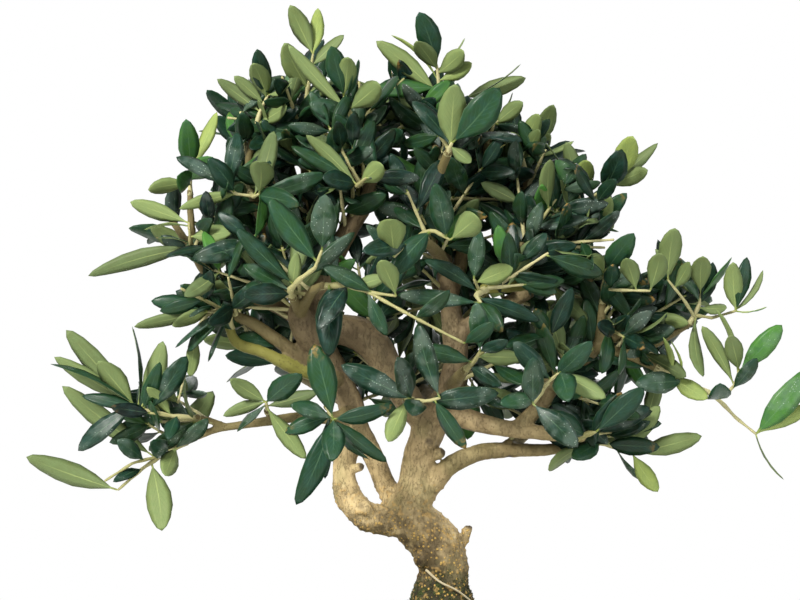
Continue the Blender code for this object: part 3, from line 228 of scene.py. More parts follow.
# %% Shoots: their limb, their twigs and their leaves
SEEN_SHOOTS = {
    "apex_left": ("apex_stem", [
        [(307, 92, -2), (313, 54, -4)]], [
        (0, 1, 290, 5, 165, 12), (0, 1, 318, 8, 175, 9), (0, 0.8, 344, 35, 150, 9),
        (0, 0.45, 284, 43, 192, 14), (0, 0.5, 264, 120, 28, 11), (0, 0.1, 275, 142, 40, 11),
        (0, 0.35, 330, 84, 170, 9)]),
    "upper_left": ("left_rising_branch", [
        [(260, 112, -6), (268, 95, -8)]], [
        (0, 1, 257, 49, 15, 12), (0, 0.9, 253, 63, 172, 12), (0, 0.5, 217, 79, 165, 9),
        (0, 0.75, 234, 76, 165, 8.5), (0, 1, 292, 83, 125, 9), (0, 0.8, 302, 62, 95, 7),
        (0, 0.1, 287, 106, 152, 11)]),
    "crown_centre": ("rising_limb", [
        [(350, 113, -21), (344, 96, -26)]], [
        (0, 1, 331, 46, 10, 13), (0, 1, 348, 57, 176, 11), (0, 0.9, 359, 59, 70, 10),
        (0, 0.5, 288, 45, 170, 9), (0, 0.6, 380, 84, 174, 14), (0, 0.2, 309, 103, 12, 13),
        (0, 0, 374, 170, 0, 13)]),
    "apex_right": ("centre_limb", [
        [(439, 88, -6), (437, 66, -8)]], [
        (0, 1, 419, 12, 8, 14.5), (0, 0.9, 416, 41, 150, 12), (0, 0.8, 464, 51, 176, 12),
        (0, 0.6, 472, 63, 168, 9.5), (0, 0.9, 465, 38, 100, 8), (0, 0.2, 376, 41, 165, 12),
        (0, 0.6, 391, 35, 100, 8), (0, 0.4, 370, 92, 18, 12)]),
    "cut_stem_leaves": ("cut_stem", [
        [(452, 143, -45)]], [
        (0, 1, 500, 88, 10, 19), (0, 0.1, 412, 101, 25, 11), (0, 0, 471, 163, 168, 8),
        (0, 0.5, 455, 84, 182, 17)]),
    "crest": ("crest_stem", [
        [(494, 124, 10)],
        [(0.05, 0, 0), (478, 118, 6), (464, 98, 4)]], [
        (0, 0.9, 523, 102, 174, 10), (1, 1, 526, 78, 172, 11), (1, 1, 521, 64, 96, 8.5),
        (0, 1, 513, 92, 95, 8), (0, 0.4, 468, 150, 30, 10)]),
    "shoulder_left": ("shoulder_upright", [
        [(520, 148, 6), (524, 136, 4)]], [
        (0, 0.5, 539, 114, 160, 12), (0, 0.7, 550, 119, 30, 10), (0, 0.2, 511, 132, 172, 9),
        (0, 0, 540, 130, 150, 10), (0, 0.3, 574, 141, 118, 9), (0, 0.1, 488, 172, 25, 11),
        (0, 1, 500, 148, 88, 7)]),
    "shoulder_right": ("shoulder_branch", [
        [(580, 204, -2), (578, 193, -4)],
        [(0.6, 0, 0), (596, 195, -6), (611, 184, -9)],
        [(0.45, 0, 0), (592, 212, -4), (594, 226, -6)]], [
        (0, 1, 566, 142, 158, 11), (0, 0.9, 587, 160, 170, 12), (0, 1, 545, 142, 82, 8),
        (0, 0.8, 555, 160, 20, 12), (0, 0.5, 598, 214, 20, 8), (1, 0.7, 622, 149, 8, 15),
        (1, 1, 633, 136, 178, 14), (1, 1, 658, 143, 150, 8), (1, 0.9, 648, 170, 174, 10.5),
        (2, 1, 610, 196, 178, 13), (2, 1, 627, 193, 12, 10.5), (0, 0.1, 619, 232, 70, 8),
        (2, 0.5, 555, 235, 165, 14)]),
    "right_inner": ("right_upright", [
        [(604, 282, -14), (606, 270, -28)],
        [(0.3, 0, 0), (612, 290, -28), (650, 291, -32)]], [
        (0, 1, 634, 233, 8, 14), (0, 0.7, 562, 250, 18, 11), (0, 0.8, 588, 256, 165, 12.5),
        (1, 0.3, 613, 264, 8, 10), (1, 0.3, 638, 271, 12, 9.5), (1, 0.8, 626, 258, 160, 11),
        (1, 1, 661, 253, 170, 12), (0, 0.5, 632, 318, 28, 10)]),
    "right_far": ("right_far_branch", [
        [(699, 306, -13), (701, 294, -14)],
        [(0.2, 0, 0), (712, 318, -14), (736, 311, -20)],
        [(0.1, 0, 0), (684, 300, -20), (668, 280, -22)]], [
        (0, 1, 703, 256, 178, 12.5), (0, 0.8, 655, 249, 166, 7.5), (0, 0.7, 677, 257, 28, 10.5),
        (0, 0.9, 732, 257, 62, 9), (0, 0.6, 713, 262, 28, 10), (0, 0.5, 727, 308, 150, 8),
        (1, 1, 733, 262, 178, 11.5), (1, 1, 747, 257, 18, 10), (1, 0.9, 763, 270, 120, 7),
        (1, 1, 767, 307, 90, 7), (2, 1, 675, 228, 178, 13.5), (2, 0.8, 690, 262, 150, 9),
        (0, 0.1, 703, 377, 162, 8.5)]),
    "right_droop": ("right_reach", [
        [(683, 381, -15), (708, 392, -20), (722, 403, -20), (736, 418, -20), (756, 434, -20)],
        [(0.55, 0, 0), (733, 388, -22), (739, 371, -24)]], [
        (0, 1, 813, 367, 8, 15.5), (0, 1, 814, 405, 170, 9.5), (0, 1, 784, 480, 96, 6.5),
        (0, 0.55, 720, 383, 0, 14, -26), (0, 0.22, 635, 384, 12, 13.5), (0, 0.1, 708, 399, 168, 11),
        (1, 0.6, 702, 326, 165, 9), (1, 1, 782, 325, 12, 13.5), (1, 1, 730, 335, 178, 11),
        (1, 0.9, 716, 309, 118, 7), (1, 0.5, 757, 358, 20, 10), (0, 0.12, 663, 337, 120, 7),
        (0, 0.2, 671, 341, 95, 7)]),
    "right_low": ("right_low_branch", [
        [(602, 443, 0), (632, 453, -4)]], [
        (0, 0.6, 566, 405, 8, 14), (0, 0.2, 640, 398, 8, 14), (0, 0.5, 660, 447, 12, 12),
        (0, 1, 702, 436, 174, 12), (0, 1, 658, 492, 178, 10.5), (0, 0.7, 651, 485, 62, 7),
        (0, 0.4, 572, 459, 25, 12), (0, 0.8, 660, 406, 172, 12), (0, 0, 548, 470, 150, 10)]),
    "right_low_front": ("right_branch", [
        [(596, 432, -35)]], [
        (0, 0, 538, 413, 5, 14.5), (0, 1, 644, 388, 10, 14), (0, 0.6, 622, 392, 20, 12),
        (0, 0.3, 552, 404, 25, 11)]),
    "front_right": ("front_right_limb", [
        [(538, 398, -68), (533, 404, -75)],
        [(0.2, 0, 0), (560, 372, -72)]], [
        (0, 1, 533, 357, 4, 12.5), (0, 1, 578, 447, 6, 13.5), (0, 0.6, 500, 404, 28, 11),
        (1, 1, 569, 402, 10, 14), (1, 0.8, 592, 341, 14, 12.5), (1, 0.5, 513, 342, 10, 12),
        (1, 1, 606, 398, 162, 11.5)]),
    "front_low": ("front_low_limb", [
        [(416, 401, -75), (428, 401, -82), (440, 398, -85)]], [
        (0, 0.35, 341, 365, -14, 14), (0, 0.75, 499, 393, 18, 14), (0, 1, 418, 323, -18, 13),
        (0, 0.9, 466, 449, 28, 11), (0, 0.6, 412, 416, 16, 13), (0, 0.3, 397, 357, 28, 14),
        (0, 0.1, 388, 442, 178, 11)]),
    "front_mid": ("front_mid_limb", [
        [(475, 361, -68), (480, 351, -75)]], [
        (0, 0.5, 412, 349, 18, 10.5), (0, 1, 476, 302, 6, 11.5), (0, 0.8, 526, 358, 168, 9.5),
        (0, 0.3, 502, 386, 24, 10), (0, 1, 508, 340, 30, 9)]),
    "front_rosette": ("front_left_limb", [
        [(333, 419, -68)]], [
        (0, 1, 314, 344, 0, 16), (0, 1, 393, 405, 24, 11), (0, 1, 290, 405, 20, 10),
        (0, 0.8, 285, 433, 10, 10), (0, 0.9, 296, 505, -8, 14), (0, 1, 332, 462, 0, 13.5, -22),
        (0, 0.9, 387, 462, 28, 10), (0, 0.7, 369, 459, 58, 9), (0, 0.5, 325, 479, 10, 8)]),
    "front_stump_leaves": ("front_stump_twig", [
        [(290, 290, -55), (300, 279, -65), (315, 268, -72), (322, 250, -78)]], [
        (0, 1, 325, 194, 4, 14.5), (0, 0.82, 269, 198, 10, 14.5), (0, 0.3, 236, 228, 14, 11),
        (0, 0.15, 243, 265, 28, 10.5), (0, 0.1, 297, 252, 178, 8), (0, 0, 242, 295, 2, 13),
        (0, 0.5, 355, 232, 30, 10)]),
    "front_twig_leaves": ("front_twig", [
        [(346, 285, -65), (372, 293, -70), (396, 296, -72)],
        [(0.62, 0, 0), (406, 313, -75), (438, 330, -78), (464, 343, -78)]], [
        (0, 0.2, 328, 223, 48, 8), (0, 1, 381, 260, 168, 12), (0, 0.4, 386, 277, 178, 8),
        (0, 0.7, 322, 266, 18, 10), (1, 0, 387, 336, 20, 9), (0, 0, 329, 357, 4, 15.5),
        (0, 0.35, 318, 330, 12, 13), (1, 0.5, 450, 290, 30, 10), (1, 1, 494, 322, 24, 10)]),
    "front_high": ("front_high_limb", [
        [(419, 236, -64), (433, 230, -71), (450, 240, -75)],
        [(0.25, 0, 0), (406, 245, -72), (394, 257, -78)]], [
        (0, 0.5, 390, 277, 8, 13.5), (1, 1, 390, 219, 178, 16.5), (1, 1, 366, 225, 38, 8.5),
        (0, 0.9, 435, 183, 4, 13.5), (0, 1, 478, 217, 178, 15), (1, 0.5, 362, 252, 20, 12)]),
    "olive_stub_leaves": ("olive_branch", [
        [(476, 296, -52), (481, 303, -60)],
        [(0.2, 0, 0), (474, 279, -55)]], [
        (0, 1, 397, 295, 18, 10.5), (0, 0.6, 540, 321, 18, 10), (0, 0.3, 424, 260, 28, 10),
        (1, 1, 480, 230, 8, 10), (1, 0.7, 513, 268, 174, 11.5), (0, 0.9, 503, 332, 24, 11)]),
    "high_front": ("high_spur", [
        [(357, 186, -42), (366, 178, -52)]], [
        (0, 0.2, 291, 146, 28, 10.5), (0, 0.4, 306, 135, 160, 9), (0, 0.6, 383, 165, 174, 12),
        (0, 1, 420, 178, 30, 11), (0, 0, 322, 178, 24, 13)]),
    "left_inner": ("left_inner_spur", [
        [(254, 197, -32), (259, 194, -40)],
        [(0.4, 0, 0), (236, 194, -32), (224, 184, -35)]], [
        (0, 1, 260, 161, 178, 14.5), (0, 0.5, 274, 131, 170, 11.5), (1, 0.9, 238, 132, 12, 10.5),
        (1, 1, 176, 157, 26, 10), (1, 0.5, 179, 209, 165, 8), (0, 0.9, 326, 174, 28, 12.5),
        (1, 0.6, 208, 158, 14, 12), (0, 0.8, 300, 205, 20, 14)]),
    "left_high": ("left_upper_branch", [
        [(190, 168, -9)]], [
        (0, 1, 186, 119, 14, 13), (0, 0.9, 217, 112, 150, 9.5), (0, 0.2, 177, 176, 8, 14),
        (0, 0.4, 213, 157, 12, 13), (0, 0, 148, 190, 160, 10)]),
    "left_middle": ("left_spur", [
        [(190, 240, -22), (189, 223, -25)]], [
        (0, 0, 88, 276, 164, 11, 6), (0, 1, 130, 202, 168, 10.5), (0, 0.9, 144, 230, 102, 7),
        (0, 0.6, 232, 232, 165, 11.5), (0, 0.3, 155, 238, 95, 8)]),
    "left_low": ("left_branch", [
        [(208, 312, -13)],
        [(0.3, 0, 0), (203, 320, -14), (193, 336, -14), (186, 370, -14), (178, 403, -14)]], [
        (0, 0.9, 151, 301, 8, 11), (0, 1, 134, 327, 160, 8.5), (0, 0.5, 172, 326, 160, 9),
        (0, 0.3, 180, 285, 16, 11), (1, 0.3, 190, 377, 150, 9.5), (1, 0.9, 207, 393, 50, 8.5),
        (1, 1, 158, 390, 165, 8)]),
    "left_silver": ("left_lower_branch", [
        [(230, 309, -22)]], [
        (0, 1, 175, 348, 62, 9), (0, 0.9, 188, 352, 30, 9.5), (0, 0.6, 208, 362, 60, 7),
        (0, 1, 262, 282, 18, 12)]),
    "low_left_tip": ("low_left_branch", [
        [(161, 456, -12), (143, 468, -13), (118, 490, -14)],
        [(0.3, 0, 0), (133, 463, -20), (105, 481, -20)]], [
        (0, 1, 26, 457, 172, 14), (0, 0.45, 162, 531, 180, 15.5), (0, 0.05, 213, 391, 165, 14.5, 16),
        (0, 0.1, 208, 418, 30, 10), (1, 0.3, 117, 440, 18, 10), (0, 0.2, 150, 442, 12, 12),
        (1, 0.1, 62, 386, 172, 13), (0, 0.6, 113, 482, 25, 7), (0, 0, 165, 476, 160, 12)]),
    "low_left_cluster": ("low_left_fork", [
        [(172, 416, -25), (150, 411, -28), (135, 406, -29)]], [
        (0, 1, 66, 330, 174, 13), (0, 1, 54, 357, 170, 10), (0, 1, 98, 361, 165, 14, -12),
        (0, 1, 50, 364, 70, 8), (0, 0.95, 132, 326, 82, 8.5), (0, 0.9, 163, 341, 168, 13),
        (0, 0.75, 187, 356, 14, 13), (0, 0.85, 160, 362, 24, 10), (0, 1, 78, 451, 18, 12),
        (0, 0.9, 82, 396, 25, 8.5), (0, 0.3, 168, 440, 8, 9), (0, 0.4, 147, 387, 170, 8)]),
    "low_left_inner": ("low_left_spur", [
        [(266, 402, -26)]], [
        (0, 1, 230, 379, 176, 10), (0, 1, 223, 416, 165, 8), (0, 0.6, 237, 432, 60, 9),
        (0, 0.9, 302, 374, 8, 13.5), (0, 0, 306, 459, 172, 10.5), (0, 0.3, 318, 392, 168, 9)]),
}

RULED_SHOOTS = {
    "back_centre": ("back_centre_limb", [(432, 268, 87), (430, 240, 95)], 20),
    "back_left": ("back_left_limb", [(254, 238, 82), (240, 214, 87)], 60),
    "back_right": ("back_right_limb", [(562, 256, 83), (574, 232, 89)], 0),
    "back_top": ("back_top_limb", [(394, 116, 63), (396, 92, 67)], 40),
    "back_low": ("back_low_limb", [(402, 366, 83), (392, 348, 90)], 10),
    "back_low_left": ("back_low_left_limb", [(270, 360, 77), (252, 348, 84)], 30),
    "back_low_right": ("back_low_right_limb", [(566, 404, 63), (584, 392, 70)], 70),
    "back_left_high": ("back_left_high_limb", [(246, 146, 60), (240, 124, 64)], 15),
    "back_right_high": ("back_right_high_limb", [(528, 168, 67), (536, 146, 72)], 50),
    "back_far_right": ("back_far_right_limb", [(654, 302, 46), (668, 290, 54)], 35),
    "back_far_left": ("back_far_left_limb", [(188, 250, 48), (176, 232, 56)], 80),
}
print("drawn leaves:", sum(len(shoot[2]) for shoot in SEEN_SHOOTS.values()))

# %% [markdown]
# ## Bending leaves clear
#
# Two leaves can't fill the same space, and on a living tree the later one grows round the earlier.
# The same is done here: a leaf is tried as drawn, then with its tip nearer or further in steps, then
# turned, then shorter, and the first try that meets no wood, no twig and no earlier leaf is kept. A
# plain flat blade is enough for that test. The rule is the one that the solids follow, so every fine
# leaf lies where its solid lies.

# %% Values of the leaf rule
LEAF_THICK = 0.0008
LEAF_RATIO = 2.75
LEAF_LENGTHS = (0.024, 0.042)
LEAF_ARCH = 0.05
LEAF_SUNK = 0.0005
LEAF_OUTLINE = ((0.28, 0.74), (0.56, 1.0), (0.83, 0.68))
SMALL_LEAF_OUTLINE = ((0.34, 0.94), (0.72, 0.9))
SMALL_LEAF_WIDTH = 15.0
LEAF_CLEARANCE = 0.0004
LEAF_FIRST = 0.0032
OWN_CLEAR_FROM = 0.3
RULED_SHARES = (0.2, 0.6, 0.97)
RULED_WIDTHS = (12, 13, 12)
RULED_TIP_LENGTH = 24
RULED_TIP_WIDTH = 8
LEAF_FORWARD = 0.8
DEPTH_TRIES = (0, -5, 5, -10, 10, -15, 15, -21, 21, -27, 27)
TURN_TRIES = (0, 20, -20)
LENGTH_TRIES = (1.0, 0.86, 0.72)
SPREAD_TRIES = (56, 44, 68, 30)
ROLL_TRIES = (0, 25, -25, 50, -50)

TWIG_SIDES = 4
SIDE_TWIG_SIDES = 3
TWIG_TIP_RADIUS = 0.0008
TWIG_START_SHARE = 0.86
SIDE_TWIG_RADIUS = 0.0011

# %% [markdown]
# ## Plain tubes for the test
#
# The test needs bodies with few faces. A tube is a ring of points at each bend of the wood, square
# to the path and not twisted, with a flat cap at each end. Thick limbs get more sides than thin ones.

# %% Plain tubes of the limbs
def ring_faces(rings, sides):
    """Side faces between rings of points, each ring running the same way round."""
    faces = []
    for here in range(0, (rings - 1) * sides, sides):
        there = here + sides
        for side in range(sides):
            after = (side + 1) % sides
            faces.append((here + side, here + after, there + after, there + side))
    return faces


def capped_rings(loops):
    """Points and faces of a closed body through loops of equally many points."""
    sides = len(loops[0])
    points = [point for loop in loops for point in loop]
    faces = ring_faces(len(loops), sides)
    faces.append(tuple(reversed(range(sides))))
    last = (len(loops) - 1) * sides
    faces.append(tuple(range(last, last + sides)))
    return points, faces


def tube(points, radii, sides, first_direction=None):
    """A tapered tube: a ring at each point, square to the path, carried along without twisting."""
    across = None
    loops = []
    for index, (point, radius) in enumerate(zip(points, radii)):
        before = (point - points[index - 1]).normalized() if index else None
        after = (points[index + 1] - point).normalized() if index + 1 < len(points) else None
        along = (before or after) + (after or before)
        if index == 0 and first_direction:
            along = first_direction
        along = along.normalized()
        if across is None:
            across = along.orthogonal()
        across = (across - along * across.dot(along)).normalized()
        other = along.cross(across)
        turns = [2 * math.pi * side / sides for side in range(sides)]
        ring = [math.cos(turn) * across + math.sin(turn) * other for turn in turns]
        loops.append([point + radius * out for out in ring])
    return capped_rings(loops)


def limb_sides(radius):
    """Thick wood is rounder than thin wood."""
    if radius > 13 * MM:
        return 10
    if radius > 6.5 * MM:
        return 7
    if radius > 4.6 * MM:
        return 5
    return 4


def limb_end(name):
    """The tip of a limb, the direction in which it ends, and its radius there."""
    before, last = LIMBS[name][-2:]
    end = on_sheet(*last[:3])
    return end, (end - on_sheet(*before[:3])).normalized(), last[3] * MM


def limb_parts():
    parts = []
    for rows in LIMBS.values():
        points = [on_sheet(*row[:3]) for row in rows]
        radii = [row[3] * MM for row in rows]
        parts.append(tube(points, radii, limb_sides(max(radii))))
    for start, end, radius in STUBS.values():
        parts.append(tube([on_sheet(*start), on_sheet(*end)], [radius * MM * 1.15, radius * MM], 5))
    return parts


print("plain bodies of the wood:", len(limb_parts()))

# %% [markdown]
# ## Twigs from the ends of the limbs
#
# The first twig of a shoot runs on from the tip of its limb, a hair clear of it. The others fork from
# the first, at a share of its length. A leaf's root is found in the same way on its twig.

# %% Paths and plain tubes of the twigs
def along_path(points, share):
    """The point, and the direction of the path there, at a share of the path's length."""
    lengths = [(after - before).length for before, after in zip(points, points[1:])]
    left = share * sum(lengths)
    for before, after, length in zip(points, points[1:], lengths):
        if left <= length + 1e-9:
            return before.lerp(after, left / length), (after - before).normalized()
        left -= length
    return points[-1], (points[-1] - points[-2]).normalized()


def clear_share(path, share, stem=0):
    """A share of the path that keeps a leaf's root clear of the limb that the first twig runs on from."""
    length = sum((after - before).length for before, after in zip(path, path[1:]))
    return max(share, LEAF_FIRST / length) if stem == 0 else share


def shoot_paths(parent, stems):
    """The main twig's path from the limb's tip, and the paths of the twigs that fork from it."""
    end, direction, _ = limb_end(parent)
    paths = [[end + direction * GAP] + [on_sheet(*row) for row in stems[0]]]
    for stem in stems[1:]:
        fork, _ = along_path(paths[0], stem[0][0])
        paths.append([fork] + [on_sheet(*row) for row in stem[1:]])
    return paths


def twig_parts(parent, paths):
    _, direction, radius = limb_end(parent)
    parts = []
    for index, path in enumerate(paths):
        start = SIDE_TWIG_RADIUS if index else radius * TWIG_START_SHARE
        steps = len(path) - 1
        radii = [start + (TWIG_TIP_RADIUS - start) * step / steps for step in range(steps + 1)]
        if index:
            parts.append(tube(path, radii, SIDE_TWIG_SIDES))
        else:
            parts.append(tube(path, radii, TWIG_SIDES, direction))
    return parts


print("twigs of a shoot:", len(shoot_paths(*SEEN_SHOOTS["right_droop"][:2])))

# %% [markdown]
# ## A plain blade
#
# A leaf has three directions of its own: along it, out of its upper side, and across it. The plain
# blade is an outline of a few points, arched a little and as thick as in the solid. Whether two bodies
# cross is asked of a BVH tree, which is far quicker than comparing every pair of faces.

# %% Directions of a leaf, its plain blade and the crossing test
def leaf_frame(base, tip, turn):
    """Unit vectors of a leaf: along it, out of its upper side, and across it.

    At a turn of 0 the upper side faces the front as squarely as the leaf's direction allows.
    """
    along = (tip - base).normalized()
    front = Vector((0, -1, 0))
    up = (front - along * front.dot(along)).normalized()
    side = along.cross(up)
    angle = math.radians(turn)
    upper = up * math.cos(angle) + side * math.sin(angle)
    return along, upper, upper.cross(along)


def blade(base, tip, turn, width, grow=0.0):
    """A leaf: a pointed outline of full thickness, arched along its length."""
    along, upper, across = leaf_frame(base, tip, turn)
    length = (tip - base).length
    outline = SMALL_LEAF_OUTLINE if width < SMALL_LEAF_WIDTH * MM else LEAF_OUTLINE

    def spine(share):
        arch = LEAF_ARCH * length * 4 * share * (1 - share)
        return base + along * length * share + upper * arch

    rim = [base - along * (LEAF_SUNK + grow)]
    rim += [spine(share) + across * (width / 2 * part + grow) for share, part in outline]
    rim.append(tip + along * grow)
    rim += [spine(share) - across * (width / 2 * part + grow) for share, part in reversed(outline)]
    thick = LEAF_THICK / 2 + grow
    points = [point + upper * thick for point in rim] + [point - upper * thick for point in rim]
    count = len(rim)
    pairs = len(outline)
    flat = [(0, pairs * 2 + 1, 1)]
    for step in range(1, pairs):
        left, right = step, count - step
        flat += [(left, right, right - 1), (left, right - 1, left + 1)]
    flat.append((pairs, pairs + 2, pairs + 1))
    faces = flat + [tuple(count + corner for corner in reversed(face)) for face in flat]
    for corner in range(count):
        after = (corner + 1) % count
        faces += [(corner, after, count + after), (corner, count + after, count + corner)]
    return points, faces


def blade_end(base, tip, turn, width):
    """The outer part of a leaf, which its neighbours on the same twig are kept clear of."""
    return blade(base.lerp(tip, OWN_CLEAR_FROM), tip, turn, width)


def tree_of(parts):
    points = []
    faces = []
    for part_points, part_faces in parts:
        first = len(points)
        points += part_points
        faces += [tuple(first + corner for corner in face) for face in part_faces]
    return BVHTree.FromPolygons(points, faces, epsilon=0.0)


def clear_of(part, trees):
    test = tree_of([part])
    return not any(tree.overlap(test) for tree in trees)


print("faces of a plain blade:", len(blade(Vector(), Vector((0.04, 0, 0)), 0, 0.015)[1]))

# %% [markdown]
# ## Places to try
#
# A generator yields the places of one leaf, the best first, so none is worked out before it is
# needed. A drawn leaf may move in depth, turn or shorten. A leaf of the rule may also stand out more
# or less from its twig, or roll round it.

# %% Places that a leaf may take
def tip_depth(base, column, row, width):
    """The depth at which a leaf of this width has nearly its usual length, in front of its root."""
    usual = min(max(width * LEAF_RATIO, LEAF_LENGTHS[0]), LEAF_LENGTHS[1])
    seen = on_sheet(column, row, depth_of(base))
    short = usual ** 2 - (seen - base).length ** 2
    return depth_of(base) - LEAF_FORWARD * math.sqrt(max(short, 0)) / MM


def seen_leaf_choices(paths, leaf):
    """Root, tip and turn of a drawn leaf, first as drawn and then bent clear step by step."""
    stem, share, column, row, turn, width = leaf[:6]
    base, _ = along_path(paths[stem], clear_share(paths[stem], share, stem))
    usual = leaf[6] + depth_of(base) if len(leaf) > 6 else tip_depth(base, column, row, width * MM)
    for shorter in LENGTH_TRIES:
        for extra in TURN_TRIES:
            for step in DEPTH_TRIES:
                tip = base.lerp(on_sheet(column, row, usual + step), shorter)
                yield base, tip, turn + extra, width * MM * (1 + shorter) / 2


def ruled_leaf_choices(path, share, side, roll, width, length):
    """Root, tip and turn of a leaf that the rule sets, its upper side towards the twig's end."""
    base, direction = along_path(path, share)
    across = direction.orthogonal().normalized()
    other = direction.cross(across)
    for shorter in LENGTH_TRIES:
        for spread in SPREAD_TRIES:
            for extra in ROLL_TRIES:
                angle = math.radians(roll + extra + side * 180)
                out = across * math.cos(angle) + other * math.sin(angle)
                lean = math.radians(spread)
                along = direction * math.cos(lean) + out * math.sin(lean)
                tip = base + along * length * shorter
                upper = (direction - along * direction.dot(along)).normalized()
                _, up, cross = leaf_frame(base, tip, 0)
                turn = math.degrees(math.atan2(upper.dot(-cross), upper.dot(up)))
                yield base, tip, turn, width * (1 + shorter) / 2


def ruled_leaves(path, roll):
    """Opposite pairs up the twig, each pair square to the last, and one leaf at the tip."""
    for pair, (share, width) in enumerate(zip(RULED_SHARES, RULED_WIDTHS)):
        length = width * MM * LEAF_RATIO
        for side in (0, 1):
            yield ruled_leaf_choices(path, share, side, roll + 90 * pair, width * MM, length)
    base, direction = along_path(path, 1.0)
    tip = base + direction * RULED_TIP_LENGTH * MM
    yield [(base, tip, roll, RULED_TIP_WIDTH * MM)]


print("places to try for a drawn leaf:", len(LENGTH_TRIES) * len(TURN_TRIES) * len(DEPTH_TRIES))

# %% [markdown]
# ## The places that are kept
#
# The shoots are worked through in a fixed order, each against the wood, the twigs of the others and
# the leaves kept so far. Leaves of one shoot may touch near their roots, as they do in a bud.

# %% Keep the first clear place of each leaf
def drawn_shoots():
    """Each shoot's limb, its twigs' paths and the places that its leaves may take, in order."""
    shoots = {}
    for name, (parent, stems, leaves) in SEEN_SHOOTS.items():
        paths = shoot_paths(parent, stems)
        shoots[name] = (parent, paths, [seen_leaf_choices(paths, leaf) for leaf in leaves])
    for name, (parent, stem, roll) in RULED_SHOOTS.items():
        paths = shoot_paths(parent, [stem])
        shoots[name] = (parent, paths, list(ruled_leaves(paths[0], roll)))
    return shoots


def first_clear(choices, trees, own):
    """The first place clear of everything, or else the first that crosses only its own shoot's leaves."""
    spare = None
    for choice in choices:
        if not clear_of(blade(*choice, grow=LEAF_CLEARANCE), trees):
            continue
        if clear_of(blade_end(*choice), own):
            return choice
        spare = spare or choice
    return spare


def place_leaves(shoots):
    twigs = {name: twig_parts(parent, paths) for name, (parent, paths, _) in shoots.items()}
    wood = tree_of(limb_parts())
    places = {}
    blades = []
    for name, (_, _, leaves) in shoots.items():
        others = [part for other, parts in twigs.items() if other != name for part in parts]
        trees = [wood, tree_of(others + blades)]
        places[name] = []
        for choices in leaves:
            own = [tree_of([blade_end(*place)]) for place in places[name]]
            place = first_clear(choices, trees, own)
            if place:
                places[name].append(place)
        blades += [blade(*place) for place in places[name]]
    return places


shoots = drawn_shoots()
places = place_leaves(shoots)
print("leaves placed:", sum(len(found) for found in places.values()))

# %% [markdown]
# ## Shells in numpy
#
# A fine piece is worked out as whole arrays: points, four-sided faces and three-sided faces. Such a
# set is called a shell here. Modelling by hand in edit mode would give the same meshes, but a shell
# from a formula can be changed by one number, and a thousand leaves take no longer than one.

# %% Join shells and put them into a mesh
def shell(points, quads, triangles=None, uv=None, data=0.0, slot=0):
    """points (n, 3), quads (m, 4), triangles (k, 3), one uv and four numbers of data for each point."""
    points = np.asarray(points, float).reshape(-1, 3)
    count = len(points)
    triangles = np.zeros((0, 3), int) if triangles is None else np.asarray(triangles)
    uv = np.zeros((count, 2)) if uv is None else uv
    data = np.broadcast_to(data, (count, 4))
    slots = np.full(len(quads) + len(triangles), slot) if np.isscalar(slot) else slot
    return points, np.asarray(quads).reshape(-1, 4), triangles, uv, data, slots


def ring_quads(index):
    """Four-sided faces between the rows of a grid of point numbers, where each row is a closed ring."""
    after = np.roll(index, -1, axis=1)
    return np.stack([index[:-1], after[:-1], after[1:], index[1:]], axis=-1).reshape(-1, 4)


def capped_faces(rings, sides):
    """Quads through all rings, and triangles to one more point at each end."""
    index = np.arange(rings * sides).reshape(rings, sides)
    after = np.roll(index, -1, axis=1)
    first = np.full(sides, rings * sides)
    start = np.stack([after[0], index[0], first], axis=-1)
    end = np.stack([index[-1], after[-1], first + 1], axis=-1)
    return ring_quads(index), np.concatenate([start, end])


def put_mesh(name, shells, finishes, nodes=()):
    """One object from shells, riding on the root body in place of the nodes."""
    firsts = np.cumsum([0] + [len(each[0]) for each in shells])
    points = np.concatenate([each[0] for each in shells])
    quads = np.concatenate([each[1] + first for each, first in zip(shells, firsts)])
    triangles = np.concatenate([each[2] + first for each, first in zip(shells, firsts)])
    quad_slots = np.concatenate([each[5][:len(each[1])] for each in shells])
    triangle_slots = np.concatenate([each[5][len(each[1]):] for each in shells])
    corners = np.concatenate([quads.ravel(), triangles.ravel()]).astype(np.int32)
    sizes = np.concatenate([np.full(len(quads), 4), np.full(len(triangles), 3)])
    starts = np.concatenate([[0], np.cumsum(sizes)[:-1]]).astype(np.int32)
    mesh = bpy.data.meshes.new(name)
    mesh.vertices.add(len(points))
    mesh.vertices.foreach_set("co", points.astype(np.float32).ravel())
    mesh.loops.add(len(corners))
    mesh.loops.foreach_set("vertex_index", corners)
    mesh.polygons.add(len(sizes))
    mesh.polygons.foreach_set("loop_start", starts)
    slots = np.concatenate([quad_slots, triangle_slots])
    mesh.polygons.foreach_set("material_index", slots.astype(np.int32))
    mesh.update(calc_edges=True)
    layer = mesh.uv_layers.new(name="along_across")
    uv = np.concatenate([each[3] for each in shells])
    layer.data.foreach_set("uv", uv[corners].astype(np.float32).ravel())
    stored = mesh.attributes.new("data", "FLOAT_COLOR", "POINT")
    data = np.concatenate([each[4] for each in shells])
    stored.data.foreach_set("color", data.astype(np.float32).ravel())
    mesh.polygons.foreach_set("use_smooth", np.ones(len(sizes), bool))
    for finish in finishes:
        mesh.materials.append(finish)
    mesh.validate()
    piece = bpy.data.objects.new(name, mesh)
    bpy.context.scene.collection.objects.link(piece)
    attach(piece, "root")
    if nodes:
        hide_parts(*nodes)
    return piece


# %% [markdown]
# ## Paths and tubes
#
# Twigs and limbs are tubes: a ring of points carried along a smooth path. The path is a Catmull-Rom
# curve, which passes through every drawn point. The ring is turned as little as possible from one
# station to the next, because a ring that spins would twist the bark.

